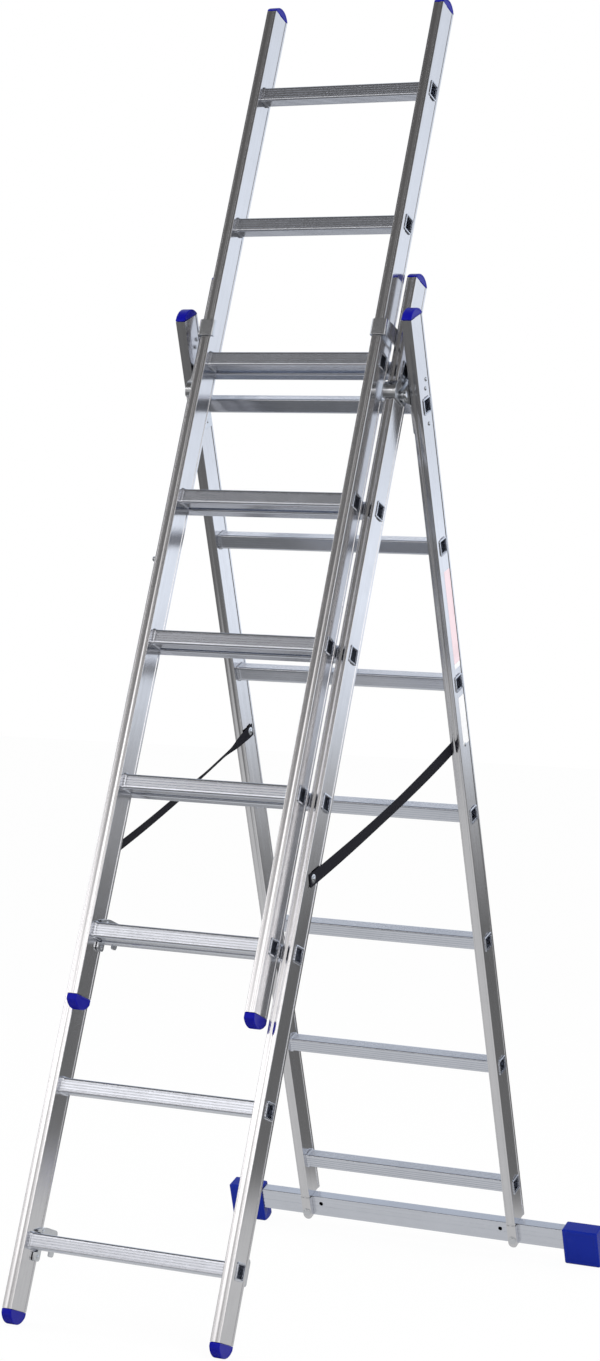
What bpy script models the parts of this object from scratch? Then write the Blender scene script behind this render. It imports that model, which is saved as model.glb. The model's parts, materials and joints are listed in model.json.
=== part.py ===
"""A three-section aluminium combination ladder, standing as an A-frame.

The middle section and the rear section form the A. The narrow upper section lies on the middle
one, raised by two rungs and hooked over its rungs. Units are metres, +Z is up, the ladder is
climbed from -Y, and the floor is z = 0.

Each section is drawn upright in a frame of its own: x runs across, y backwards from the front
plane of its stiles, and z along them from the middle of its lowest rung. An empty carries each
section to its place.
"""
import math

import bmesh
import bpy
from mathutils import Matrix, Vector

# ---- driving dimensions -------------------------------------------------------------------

RUNG_PITCH = 0.280
RUNG_COUNT = 7
RUNG_SIZE = 0.028            # outer side of the square rung tube
RUNG_WALL = 0.0016
RUNG_CORNER = 0.0035         # chamfer of the tube's four long edges
COLLAR_GROWTH = 0.002        # how far the swaged collars stand out of the tube
COLLAR_LENGTH = 0.003
RIM = 0.0016                 # how far the flared rim stands out of the stile

STILE_WIDTH = 0.020          # across the ladder
STILE_DEPTH = 0.054          # front to back
STILE_WALL = 0.0017
LIP_DEPTH = 0.018            # front band of the outer face that stands proud
BACK_LIP_DEPTH = 0.005
RECESS = 0.001               # how far the outer face lies back between the two lips
GROOVE_WIDTH = 0.005         # groove down the middle of each narrow face
GROOVE_DEPTH = 0.0008

FRONT_LEAN = math.radians(16.52)
SPREAD = math.radians(40.15)             # angle between the two legs of the A
REAR_LEAN = SPREAD - FRONT_LEAN
SECTION_STEP = 0.0439        # front plane of one section to that of the next, nested
RAISED_BY = 2 * RUNG_PITCH   # how far the upper section stands above the middle one

MIDDLE_WIDTH = 0.4344        # over the stiles
UPPER_WIDTH = 0.3777
REAR_WIDTH = 0.4942

MIDDLE_FOOT, MIDDLE_HEAD = 0.124, 0.179  # stile below the lowest rung, above the highest
UPPER_FOOT, UPPER_HEAD = 0.130, 0.176
REAR_FOOT, REAR_HEAD = 0.137, 0.171

CAP_SKIRT, CAP_RISE = 0.003, 0.0135      # straight and arched height of a top cap
FOOT_SKIRT, FOOT_RISE = 0.008, 0.017
PLUG_LENGTH = 0.014
PLUG_INSET = STILE_WALL + GROOVE_DEPTH + 0.0012

PIVOT_FROM_MIDDLE_FRONT = STILE_DEPTH / 2
PIVOT_BELOW_MIDDLE_TOP_RUNG = 0.050
PIVOT_BEFORE_REAR_FRONT = 0.017
PIVOT_ABOVE_REAR_TOP_RUNG = 0.032
PIVOT_Y = -0.1392            # puts y = 0 midway between the foremost and the rearmost point
PIN_RADIUS = 0.006
PIN_HEAD_RADIUS = 0.010
PIN_PLAY = 0.0003

BAR_LENGTH = 0.800
BAR_HEIGHT = 0.046
BAR_DEPTH = 0.025
BAR_WALL = 0.0018
BAR_FRONT = 0.012            # behind the front plane of the rear stiles
BAR_TOP = -0.086             # from the middle of the lowest rear rung
BAR_HOLE_X = 0.207
BAR_HOLE_RADIUS = 0.0045
BOOT_INNER_X, BOOT_OUTER_X = 0.347, 0.424
BOOT_FRONT, BOOT_BACK = 0.0065, 0.0425
BOOT_RIM = 0.005             # boot above the bar
SOLE_RADIUS = 0.036

PLATE = 0.003                # steel fittings
CLEARANCE = 0.0003           # between pieces that touch
RUN = 0.001                  # between pieces that slide
HOOK_PLATE = 0.0035
HOOK_TOP = 0.0295            # hook above and below the middle of the rung
HOOK_LEAF = 0.033
HOOK_TIP = 0.019
HOOK_JAW = 0.017             # hook behind the next section's rung
GUIDE_HEIGHT = 0.032
GUIDE_Z = 6 * RUNG_PITCH + 0.058
GUIDE_LIP = 0.008
BRACKET_HALF = 0.016         # half the height of the hinge bracket
BRACKET_BULGE = 0.006
BRACKET_EAR = 0.0145         # rise of its outer cheek

STRAP_WIDTH = 0.025
STRAP_THICKNESS = 0.0016
STRAP_SAG = 0.010
STRAP_TAIL = 0.012
STRAP_MIDDLE_Z = 6 * RUNG_PITCH - 0.980
STRAP_REAR_Z = 6 * RUNG_PITCH - 0.690
STRAP_Y = 0.027

TOP_RUNG_Z = (RUNG_COUNT - 1) * RUNG_PITCH
RUNG_Y = STILE_DEPTH / 2


# ---- materials ----------------------------------------------------------------------------

def material(name, colour, metallic, roughness):
    result = bpy.data.materials.new(name)
    result.use_nodes = True
    shader = result.node_tree.nodes["Principled BSDF"]
    shader.inputs["Base Color"].default_value = (*colour, 1.0)
    shader.inputs["Metallic"].default_value = metallic
    shader.inputs["Roughness"].default_value = roughness
    result.diffuse_color = (*colour, 1.0)
    return result


FINISHES = {
    "aluminium": ((0.78, 0.78, 0.80), 1.0, 0.35),
    "steel": ((0.72, 0.74, 0.76), 1.0, 0.30),
    "blue_plastic": ((0.02, 0.05, 0.60), 0.0, 0.40),
    "webbing": ((0.015, 0.015, 0.018), 0.0, 0.85),
}


# ---- mesh tools ---------------------------------------------------------------------------

def finish_object(name, bm, finish, parent, smooth=False):
    bmesh.ops.recalc_face_normals(bm, faces=bm.faces)
    mesh = bpy.data.meshes.new(name)
    bm.to_mesh(mesh)
    bm.free()
    if smooth:
        mesh.shade_smooth()
        mesh.set_sharp_from_angle(angle=math.radians(35))
    mesh.materials.append(material(name + "_finish", *FINISHES[finish]))
    return place(name, mesh, parent)


def place(name, mesh, parent):
    result = bpy.data.objects.new(name, mesh)
    bpy.context.collection.objects.link(result)
    result.parent = parent
    return result


def extrude_ring(bm, ring, offset):
    """Closes a planar ring of points and pulls it along offset."""
    face = bm.faces.new([bm.verts.new(point) for point in ring])
    pulled = bmesh.ops.extrude_face_region(bm, geom=[face])
    moved = [item for item in pulled["geom"] if isinstance(item, bmesh.types.BMVert)]
    bmesh.ops.translate(bm, verts=moved, vec=offset)
    return next(item for item in pulled["geom"] if isinstance(item, bmesh.types.BMFace))


def side_prism(outline, x_a, x_b):
    """A prism across the ladder: outline in (y, z), from x_a to x_b."""
    bm = bmesh.new()
    extrude_ring(bm, [(x_a, y, z) for y, z in outline], (x_b - x_a, 0, 0))
    return bm


def long_prism(outline, z_a, z_b):
    """A prism along the stiles: outline in (x, y), from z_a to z_b."""
    bm = bmesh.new()
    extrude_ring(bm, [(x, y, z_a) for x, y in outline], (0, 0, z_b - z_a))
    return bm


def add_box(bm, low, high):
    size = Vector(high) - Vector(low)
    middle = (Vector(high) + Vector(low)) / 2
    bmesh.ops.create_cube(bm, size=1.0, matrix=Matrix.Translation(middle) @ Matrix.Diagonal((*size, 1.0)))


def add_rod(bm, axis, centre, radius, length, segments=16):
    turn = {"x": Matrix.Rotation(math.pi / 2, 4, "Y"), "y": Matrix.Rotation(math.pi / 2, 4, "X")}[axis]
    bmesh.ops.create_cone(bm, cap_ends=True, segments=segments, radius1=radius, radius2=radius,
                          depth=length, matrix=Matrix.Translation(centre) @ turn)


def cut(target, name, bm):
    """Cuts the solids in bm out of target."""
    cutter = finish_object(name, bm, "steel", target.parent)
    cutter.hide_render = True
    cutter.display_type = "WIRE"
    modifier = target.modifiers.new(name, "BOOLEAN")
    modifier.operation = "DIFFERENCE"
    modifier.object = cutter


def arc(centre, radius, start, end, steps):
    """Points of a circular arc in the (y, z) plane."""
    angles = [start + (end - start) * i / steps for i in range(steps + 1)]
    return [(centre[0] + radius * math.cos(a), centre[1] + radius * math.sin(a)) for a in angles]


def arch_radius(chord, rise):
    return ((chord / 2) ** 2 + rise ** 2) / (2 * rise)


# ---- sections -----------------------------------------------------------------------------

def section_frame(name, origin, lean):
    frame = bpy.data.objects.new(name, None)
    bpy.context.collection.objects.link(frame)
    frame.empty_display_size = 0.1
    frame.location = origin
    frame.rotation_euler = (lean, 0, 0)
    return frame


def stile_outline(inner_x, side):
    """The stile's section: proud lips, a recessed outer face and grooved narrow faces."""
    middle = STILE_WIDTH / 2
    half = GROOVE_WIDTH / 2
    back = STILE_DEPTH
    outline = [
        (0, 0), (middle - half, 0), (middle - half + GROOVE_DEPTH, GROOVE_DEPTH),
        (middle + half - GROOVE_DEPTH, GROOVE_DEPTH), (middle + half, 0), (STILE_WIDTH, 0),
        (STILE_WIDTH, LIP_DEPTH), (STILE_WIDTH - RECESS, LIP_DEPTH + RECESS),
        (STILE_WIDTH - RECESS, back - BACK_LIP_DEPTH - RECESS), (STILE_WIDTH, back - BACK_LIP_DEPTH),
        (STILE_WIDTH, back), (middle + half, back), (middle + half - GROOVE_DEPTH, back - GROOVE_DEPTH),
        (middle - half + GROOVE_DEPTH, back - GROOVE_DEPTH), (middle - half, back), (0, back),
    ]
    return [(side * (inner_x + x), y) for x, y in outline]


def stile(name, frame, width, side, foot, head, extra_cutter=None):
    """One hollow stile with its square rung holes, and any further cuts."""
    inner_x = width / 2 - STILE_WIDTH
    low, high = -foot, TOP_RUNG_Z + head
    body = finish_object(name, long_prism(stile_outline(inner_x, side), low, high), "aluminium", frame)

    hollow = bmesh.new()
    near, far = sorted((side * (inner_x + STILE_WALL), side * (inner_x + STILE_WIDTH - RECESS - STILE_WALL)))
    add_box(hollow, (near, STILE_WALL + GROOVE_DEPTH, low - 0.01),
            (far, STILE_DEPTH - STILE_WALL - GROOVE_DEPTH, high + 0.01))
    cut(body, name + "_hollow", hollow)

    holes = bmesh.new()
    half = RUNG_SIZE / 2 + CLEARANCE
    near, far = sorted((side * (inner_x - 0.005), side * (inner_x + STILE_WIDTH + 0.005)))
    for i in range(RUNG_COUNT):
        z = i * RUNG_PITCH
        add_box(holes, (near, RUNG_Y - half, z - half), (far, RUNG_Y + half, z + half))
    if extra_cutter:
        extra_cutter(holes, inner_x, side)
    cut(body, name + "_holes", holes)
    return body


def square_ring(half, chamfer, x):
    """Eight points round the rung tube at a place x across the ladder."""
    near = half - chamfer
    corners = [(half, near), (near, half), (-near, half), (-half, near),
               (-half, -near), (-near, -half), (near, -half), (half, -near)]
    return [(x, RUNG_Y + y, z) for y, z in corners]


def rung_mesh(name, width):
    """An open square tube with a swaged collar against each face of both stiles."""
    tube, collar = RUNG_SIZE / 2, RUNG_SIZE / 2 + COLLAR_GROWTH
    outer = width / 2 + CLEARANCE
    inner = width / 2 - STILE_WIDTH - CLEARANCE
    end = outer + RIM
    half_profile = [(end, collar), (outer, collar), (outer, tube),
                    (inner, tube), (inner, collar), (inner - COLLAR_LENGTH, tube)]
    profile = [(-x, r) for x, r in half_profile] + [(x, r) for x, r in reversed(half_profile)]
    bore = RUNG_SIZE / 2 - RUNG_WALL
    profile += [(end, bore), (-end, bore)]

    bm = bmesh.new()
    rings = []
    for x, reach in profile:
        chamfer = RUNG_CORNER * reach / tube
        rings.append([bm.verts.new(point) for point in square_ring(reach, chamfer, x)])
    for i, ring in enumerate(rings):
        following = rings[(i + 1) % len(rings)]
        for j in range(len(ring)):
            k = (j + 1) % len(ring)
            bm.faces.new((ring[j], ring[k], following[k], following[j]))
    bmesh.ops.recalc_face_normals(bm, faces=bm.faces)
    mesh = bpy.data.meshes.new(name)
    bm.to_mesh(mesh)
    bm.free()
    mesh.materials.append(material(name + "_finish", *FINISHES["aluminium"]))
    return mesh


def rungs(section, frame, width):
    mesh = rung_mesh(section + "_rung", width)
    for i in range(RUNG_COUNT):
        place(f"{section}_rung_{i + 1}", mesh, frame).location.z = i * RUNG_PITCH


def end_cap(name, frame, width, side, end_z, up, skirt, rise):
    """An arched plastic cap on a stile's end, with a plug inside the stile. up is 1 or -1."""
    radius = arch_radius(STILE_DEPTH, rise)
    reach = math.asin(STILE_DEPTH / 2 / radius)
    base = end_z + up * CLEARANCE
    centre_z = end_z + up * (skirt + rise - radius)
    outline = [(STILE_DEPTH, base)]
    outline += [(y, centre_z + up * (z - centre_z)) for y, z in
                arc((STILE_DEPTH / 2, centre_z), radius, math.pi / 2 - reach, math.pi / 2 + reach, 10)]
    outline += [(0, base)]
    inner_x, outer_x = width / 2 - STILE_WIDTH, width / 2
    bm = side_prism(outline, side * inner_x, side * outer_x)
    bottom = next(face for face in bm.faces
                  if all(abs(vert.co.z - base) < 1e-6 for vert in face.verts))
    bmesh.ops.inset_region(bm, faces=[bottom], thickness=PLUG_INSET, use_even_offset=True)
    pulled = bmesh.ops.extrude_face_region(bm, geom=[bottom])
    moved = [item for item in pulled["geom"] if isinstance(item, bmesh.types.BMVert)]
    bmesh.ops.translate(bm, verts=moved, vec=(0, 0, -up * PLUG_LENGTH))
    bmesh.ops.delete(bm, geom=[bottom], context="FACES_ONLY")
    finish_object(name, bm, "blue_plastic", frame, smooth=True)


# ---- fittings -----------------------------------------------------------------------------

def hook(name, frame, width, side):
    """A flat steel plate on the stile's inner face, slotted for the next section's rung."""
    face_x = width / 2 - STILE_WIDTH - CLEARANCE
    half = RUNG_SIZE / 2
    collar = half + COLLAR_GROWTH + 0.0015
    next_y = RUNG_Y + SECTION_STEP
    slot_front, slot_back = next_y - half - 2 * CLEARANCE, next_y + half + 2 * CLEARANCE
    back = slot_back + HOOK_JAW
    arm_y, leaf_y, neck_y = RUNG_Y + 0.004, RUNG_Y + 0.0075, RUNG_Y + collar
    outline = [
        (arm_y, collar), (arm_y, collar + 0.004), (slot_front, HOOK_TOP), (back - 0.006, HOOK_TOP),
        (back, HOOK_TOP - 0.006), (back, -HOOK_TIP + 0.005), (back - 0.004, -HOOK_TIP),
        (slot_back + 0.004, -HOOK_TIP), (slot_back + 0.001, -HOOK_TIP + 0.006),
        (slot_back, half + CLEARANCE), (slot_front, half + CLEARANCE), (slot_front, -HOOK_LEAF + 0.007),
        (slot_front - 0.005, -HOOK_LEAF), (leaf_y + 0.004, -HOOK_LEAF), (leaf_y, -HOOK_LEAF + 0.004),
        (leaf_y, -collar), (neck_y, -collar), (neck_y, collar),
    ]
    finish_object(name, side_prism(outline, side * (face_x - HOOK_PLATE), side * face_x), "steel", frame)


def guide_bracket(name, frame, side):
    """A steel strap on the middle stile's inner face that wraps the upper stile from the front."""
    upper_outer, upper_inner = UPPER_WIDTH / 2, UPPER_WIDTH / 2 - STILE_WIDTH
    wall = MIDDLE_WIDTH / 2 - STILE_WIDTH - CLEARANCE
    leg = wall - PLATE
    front = -SECTION_STEP - RUN
    lip_x = upper_inner - RUN
    outline = [
        (wall, 0.042), (wall, front - PLATE), (lip_x - PLATE, front - PLATE),
        (lip_x - PLATE, front + GUIDE_LIP), (lip_x, front + GUIDE_LIP), (lip_x, front), (leg, front),
        (leg, 0.042),
    ]
    assert leg > upper_outer + RUN
    outline = [(side * x, y) for x, y in outline]
    low = GUIDE_Z - GUIDE_HEIGHT / 2
    finish_object(name, long_prism(outline, low, low + GUIDE_HEIGHT), "steel", frame)


def hinge_bracket(name, frame, side):
    """A steel saddle round the front of the middle stile that holds the pivot pin."""
    inner = MIDDLE_WIDTH / 2 - STILE_WIDTH - CLEARANCE
    outer = MIDDLE_WIDTH / 2 + CLEARANCE
    z = TOP_RUNG_Z - PIVOT_BELOW_MIDDLE_TOP_RUNG
    back = 0.046
    low, high = z - BRACKET_HALF, z + BRACKET_HALF
    radius = arch_radius(2 * BRACKET_HALF, BRACKET_BULGE)
    reach = math.asin(BRACKET_HALF / radius)
    face_y = -CLEARANCE - PLATE
    bulge = arc((face_y - BRACKET_BULGE + radius, z), radius, math.pi + reach, math.pi - reach, 8)
    cheek = [(0.009, high + BRACKET_EAR), (0.038, high + BRACKET_EAR), (back, high + 0.010),
             (back, low + 0.012), (0.038, low)]
    body = finish_object(name, side_prism(cheek + bulge, side * (inner - 0.0025), side * (outer + PLATE)),
                         "steel", frame, smooth=True)
    channel = bmesh.new()
    near, far = sorted((side * inner, side * outer))
    add_box(channel, (near, -CLEARANCE, low - 0.01), (far, back + 0.01, high + 0.03))
    cut(body, name + "_channel", channel)
    trim = bmesh.new()
    near, far = sorted((side * (inner - 0.01), side * (inner + 0.005)))
    add_box(trim, (near, -0.02, high), (far, back + 0.01, high + 0.03))
    cut(body, name + "_trim", trim)
    bore = bmesh.new()
    add_rod(bore, "x", (side * outer, PIVOT_FROM_MIDDLE_FRONT, z), PIN_RADIUS + PIN_PLAY, 0.06)
    cut(body, name + "_bore", bore)


def rear_hinge_plate(name, frame, side):
    """A steel plate on the rear stile's inner face that reaches forward to the pivot pin."""
    outer = REAR_WIDTH / 2 - STILE_WIDTH - CLEARANCE
    pivot = (-PIVOT_BEFORE_REAR_FRONT, TOP_RUNG_Z + PIVOT_ABOVE_REAR_TOP_RUNG)
    eye = 0.013
    outline = arc(pivot, eye, math.radians(75), math.radians(255), 10)
    collar_y = RUNG_Y - RUNG_SIZE / 2 - COLLAR_GROWTH - RUN
    back_y = STILE_DEPTH - 0.008
    notch = RUNG_SIZE / 2 + 0.005
    outline += [(0.002, TOP_RUNG_Z + 0.008), (0.004, TOP_RUNG_Z - 0.050), (back_y, TOP_RUNG_Z - 0.050),
                (back_y, TOP_RUNG_Z - notch), (collar_y, TOP_RUNG_Z - notch), (collar_y, TOP_RUNG_Z + notch),
                (back_y, TOP_RUNG_Z + notch), (back_y, TOP_RUNG_Z + 0.058)]
    body = finish_object(name, side_prism(outline, side * (outer - PLATE), side * outer), "steel", frame)
    bore = bmesh.new()
    add_rod(bore, "x", (side * outer, *pivot), PIN_RADIUS + PIN_PLAY, 0.03)
    cut(body, name + "_bore", bore)


def hinge_pin(name, frame, side):
    """The pivot pin: a turned rod with a domed head, its origin on the hinge's axis."""
    head_x = REAR_WIDTH / 2 - STILE_WIDTH + CLEARANCE
    end_x = MIDDLE_WIDTH / 2 - STILE_WIDTH - 0.0029
    profile = [(end_x, PIN_RADIUS), (head_x, PIN_RADIUS), (head_x, PIN_HEAD_RADIUS),
               (head_x + 0.002, PIN_HEAD_RADIUS), (head_x + 0.004, PIN_HEAD_RADIUS - 0.003)]
    bm = bmesh.new()
    verts = [bm.verts.new((side * x, r, 0)) for x, r in profile]
    axis_verts = [bm.verts.new((side * profile[-1][0], 0, 0)), bm.verts.new((side * profile[0][0], 0, 0))]
    chain = [axis_verts[1]] + verts + [axis_verts[0]]
    edges = [bm.edges.new(pair) for pair in zip(chain, chain[1:])]
    bmesh.ops.spin(bm, geom=chain + edges, cent=(0, 0, 0), axis=(1, 0, 0), angle=2 * math.pi, steps=16)
    bmesh.ops.remove_doubles(bm, verts=bm.verts, dist=1e-5)
    pin = finish_object(name, bm, "steel", frame, smooth=True)
    pin.location = (0, PIVOT_FROM_MIDDLE_FRONT, TOP_RUNG_Z - PIVOT_BELOW_MIDDLE_TOP_RUNG)


def stop_peg(name, frame, side):
    """A small peg on the middle stile's outer face that keeps the folded sections apart."""
    bm = bmesh.new()
    length = 0.007
    start = MIDDLE_WIDTH / 2 + CLEARANCE
    add_rod(bm, "x", (side * (start + length / 2), 0.009, TOP_RUNG_Z - 0.394), 0.006, length, 12)
    finish_object(name, bm, "steel", frame, smooth=True)


def traverse_bar(frame):
    """The stabiliser bar across the foot of the rear section: an open rectangular tube."""
    back = BAR_FRONT + BAR_DEPTH
    low = BAR_TOP - BAR_HEIGHT
    half = BAR_LENGTH / 2
    edge = 0.002
    outline = [(BAR_FRONT + edge, low), (back - edge, low), (back, low + edge), (back, BAR_TOP - edge),
               (back - edge, BAR_TOP), (BAR_FRONT + edge, BAR_TOP), (BAR_FRONT, BAR_TOP - edge),
               (BAR_FRONT, low + edge)]
    bar = finish_object("traverse_bar", side_prism(outline, -half, half), "aluminium", frame)
    hollow = bmesh.new()
    add_box(hollow, (-half - 0.01, BAR_FRONT + BAR_WALL, low + BAR_WALL),
            (half + 0.01, back - BAR_WALL, BAR_TOP - BAR_WALL))
    cut(bar, "traverse_bar_hollow", hollow)
    holes = bmesh.new()
    for side in (-1, 1):
        add_rod(holes, "y", (side * BAR_HOLE_X, BAR_FRONT, BAR_TOP - 0.016), BAR_HOLE_RADIUS, 0.012, 12)
        add_rod(holes, "y", (side * (REAR_WIDTH - STILE_WIDTH) / 2, BAR_FRONT + 0.012, BAR_TOP - 0.033),
                0.0045, 0.06, 12)
    cut(bar, "traverse_bar_holes", holes)


def traverse_boot(name, frame, side, sole_centre_z):
    """A plastic shoe over the bar's end, with a rounded sole."""
    middle_y = (BOOT_FRONT + BOOT_BACK) / 2
    half = (BOOT_BACK - BOOT_FRONT) / 2
    reach = math.asin(half / SOLE_RADIUS)
    top = BAR_TOP + BOOT_RIM
    edge = 0.004
    sole = arc((middle_y, sole_centre_z), SOLE_RADIUS, 1.5 * math.pi - reach, 1.5 * math.pi + reach, 8)
    outline = sole + [(BOOT_BACK, top - edge), (BOOT_BACK - edge, top), (BOOT_FRONT + edge, top),
                      (BOOT_FRONT, top - edge)]
    boot = finish_object(name, side_prism(outline, side * BOOT_INNER_X, side * BOOT_OUTER_X),
                         "blue_plastic", frame, smooth=True)
    pocket = bmesh.new()
    near, far = sorted((side * (BOOT_INNER_X - 0.01), side * (BAR_LENGTH / 2 + CLEARANCE)))
    add_box(pocket, (near, BAR_FRONT - CLEARANCE, BAR_TOP - BAR_HEIGHT - CLEARANCE),
            (far, BAR_FRONT + BAR_DEPTH + CLEARANCE, BAR_TOP + CLEARANCE))
    cut(boot, name + "_pocket", pocket)


def traverse_bolt(name, frame, side):
    """The bolt that holds the bar to the stile's front strip."""
    x, z = side * (REAR_WIDTH - STILE_WIDTH) / 2, BAR_TOP - 0.033
    back = BAR_FRONT + BAR_DEPTH
    profile = [(-0.0045, 0.0045), (-0.003, 0.0065), (-CLEARANCE, 0.0065), (-CLEARANCE, 0.0040),
               (back + CLEARANCE, 0.0040), (back + CLEARANCE, 0.0075), (back + 0.006, 0.0075)]
    bm = bmesh.new()
    chain = [bm.verts.new((0, profile[0][0], 0))]
    chain += [bm.verts.new((radius, y, 0)) for y, radius in profile]
    chain += [bm.verts.new((0, profile[-1][0], 0))]
    edges = [bm.edges.new(pair) for pair in zip(chain, chain[1:])]
    bmesh.ops.spin(bm, geom=chain + edges, cent=(0, 0, 0), axis=(0, 1, 0), angle=2 * math.pi, steps=12)
    bmesh.ops.remove_doubles(bm, verts=bm.verts, dist=1e-5)
    finish_object(name, bm, "steel", frame, smooth=True).location = (x, 0, z)


def cut_rear_foot(holes, inner_x, side):
    """Notches a rear stile round the bar, leaving its front strip, and bores that for the bolt."""
    near, far = sorted((side * (inner_x - 0.005), side * (inner_x + STILE_WIDTH + 0.005)))
    low = (near, BAR_FRONT - CLEARANCE, -REAR_FOOT - 0.01)
    add_box(holes, low, (far, STILE_DEPTH + 0.01, BAR_TOP + CLEARANCE))
    middle = side * (inner_x + STILE_WIDTH / 2)
    add_rod(holes, "y", (middle, 0.006, BAR_TOP - 0.033), 0.0044, 0.03, 12)


def cut_pin_hole(holes, inner_x, side):
    level = TOP_RUNG_Z - PIVOT_BELOW_MIDDLE_TOP_RUNG
    centre = (side * (inner_x + STILE_WIDTH / 2), PIVOT_FROM_MIDDLE_FRONT, level)
    add_rod(holes, "x", centre, PIN_RADIUS + PIN_PLAY, 0.03)


def spread_strap(name, middle, rear, side):
    """The webbing strap between a middle stile and a rear one, as a plain sagging ribbon."""
    start_x = MIDDLE_WIDTH / 2 + 2 * CLEARANCE
    end_x = REAR_WIDTH / 2 - STILE_WIDTH - 2 * CLEARANCE - STRAP_THICKNESS
    start = middle @ Vector((0, STRAP_Y, STRAP_MIDDLE_Z))
    end = rear @ Vector((0, STRAP_Y, STRAP_REAR_Z))
    along = (end - start).normalized()
    across = along.cross(Vector((1, 0, 0)))
    start -= along * STRAP_TAIL
    end += along * STRAP_TAIL
    steps = 10
    bm = bmesh.new()
    rings = []
    for i in range(steps + 1):
        t = i / steps
        centre = start.lerp(end, t) - Vector((0, 0, 4 * STRAP_SAG * t * (1 - t)))
        x = start_x + (end_x - start_x) * t
        corners = [(x, -1), (x + STRAP_THICKNESS, -1), (x + STRAP_THICKNESS, 1), (x, 1)]
        rings.append([bm.verts.new(centre + Vector((side * cx, 0, 0)) + across * (edge * STRAP_WIDTH / 2))
                      for cx, edge in corners])
    for ring, following in zip(rings, rings[1:]):
        for j in range(4):
            k = (j + 1) % 4
            bm.faces.new((ring[j], ring[k], following[k], following[j]))
    bm.faces.new(rings[0])
    bm.faces.new(rings[-1])
    finish_object(name, bm, "webbing", None)


# ---- assembly -----------------------------------------------------------------------------

def foot_centre():
    """Centre of the arc that a middle foot rolls on, in the middle section's frame."""
    return STILE_DEPTH / 2, -MIDDLE_FOOT - FOOT_SKIRT - FOOT_RISE + arch_radius(STILE_DEPTH, FOOT_RISE)


def place_sections():
    """Stands the A-frame on the floor and returns its frames and the sole's arc centre."""
    foot_y, foot_z = foot_centre()
    pivot_in_middle = Vector((0, PIVOT_FROM_MIDDLE_FRONT, TOP_RUNG_Z - PIVOT_BELOW_MIDDLE_TOP_RUNG))
    pivot_in_rear = Vector((0, -PIVOT_BEFORE_REAR_FRONT, TOP_RUNG_Z + PIVOT_ABOVE_REAR_TOP_RUNG))
    pivot_z = (arch_radius(STILE_DEPTH, FOOT_RISE) + (pivot_in_middle.z - foot_z) * math.cos(FRONT_LEAN)
               - (pivot_in_middle.y - foot_y) * math.sin(FRONT_LEAN))
    pivot = Vector((0, PIVOT_Y, pivot_z))
    turn_front = Matrix.Rotation(-FRONT_LEAN, 3, "X")
    turn_rear = Matrix.Rotation(REAR_LEAN, 3, "X")
    middle_origin = pivot - turn_front @ pivot_in_middle
    upper_origin = middle_origin + turn_front @ Vector((0, -SECTION_STEP, RAISED_BY))
    middle = section_frame("middle_frame", middle_origin, -FRONT_LEAN)
    upper = section_frame("upper_frame", upper_origin, -FRONT_LEAN)
    hinge = section_frame("rear_hinge", pivot, REAR_LEAN)
    rear = section_frame("rear_frame", -pivot_in_rear, 0)
    rear.parent = hinge
    sole_y = (BOOT_FRONT + BOOT_BACK) / 2
    sole_z = pivot_in_rear.z + ((SOLE_RADIUS - pivot_z - (sole_y - pivot_in_rear.y) * math.sin(REAR_LEAN))
                                / math.cos(REAR_LEAN))
    return middle, upper, rear, sole_z


def build_ladder():
    middle, upper, rear, sole_z = place_sections()
    sections = [
        ("middle", middle, MIDDLE_WIDTH, MIDDLE_FOOT, MIDDLE_HEAD, cut_pin_hole),
        ("upper", upper, UPPER_WIDTH, UPPER_FOOT, UPPER_HEAD, None),
        ("rear", rear, REAR_WIDTH, REAR_FOOT, REAR_HEAD, cut_rear_foot),
    ]
    sides = (("left", -1), ("right", 1))
    for section, frame, width, foot, head, extra_cutter in sections:
        rungs(section, frame, width)
        for word, side in sides:
            stile(f"{section}_stile_{word}", frame, width, side, foot, head, extra_cutter)
            end_cap(f"{section}_top_cap_{word}", frame, width, side, TOP_RUNG_Z + head, 1, CAP_SKIRT,
                    CAP_RISE)
    for word, side in sides:
        end_cap(f"middle_foot_{word}", middle, MIDDLE_WIDTH, side, -MIDDLE_FOOT, -1, FOOT_SKIRT, FOOT_RISE)
        end_cap(f"upper_foot_{word}", upper, UPPER_WIDTH, side, -UPPER_FOOT, -1, CAP_SKIRT, CAP_RISE)
        hook(f"upper_hook_{word}", upper, UPPER_WIDTH, side)
        hook(f"middle_hook_{word}", middle, MIDDLE_WIDTH, side)
        guide_bracket(f"guide_bracket_{word}", middle, side)
        hinge_bracket(f"hinge_bracket_{word}", middle, side)
        hinge_pin(f"hinge_pin_{word}", middle, side)
        rear_hinge_plate(f"rear_hinge_plate_{word}", rear, side)
        traverse_boot(f"traverse_boot_{word}", rear, side, sole_z)
        traverse_bolt(f"traverse_bolt_{word}", rear, side)
    traverse_bar(rear)
    stop_peg("stop_peg", middle, -1)
    bpy.context.view_layer.update()
    for word, side in sides:
        spread_strap(f"spread_strap_{word}", middle.matrix_world, rear.matrix_world, side)


for old in list(bpy.data.objects):
    bpy.data.objects.remove(old)
build_ladder()
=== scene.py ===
"""Combination ladder: the looks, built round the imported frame.

Each section is drawn upright in a frame of its own and then laid in its place: x runs across,
y backwards from the middle of the stiles, and z along them from the middle of the lowest rung.
Units are metres.
"""
import json
import math

import bmesh
import bpy
from bpy.props import FloatProperty, FloatVectorProperty, PointerProperty
from mathutils import Matrix, Vector


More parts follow.
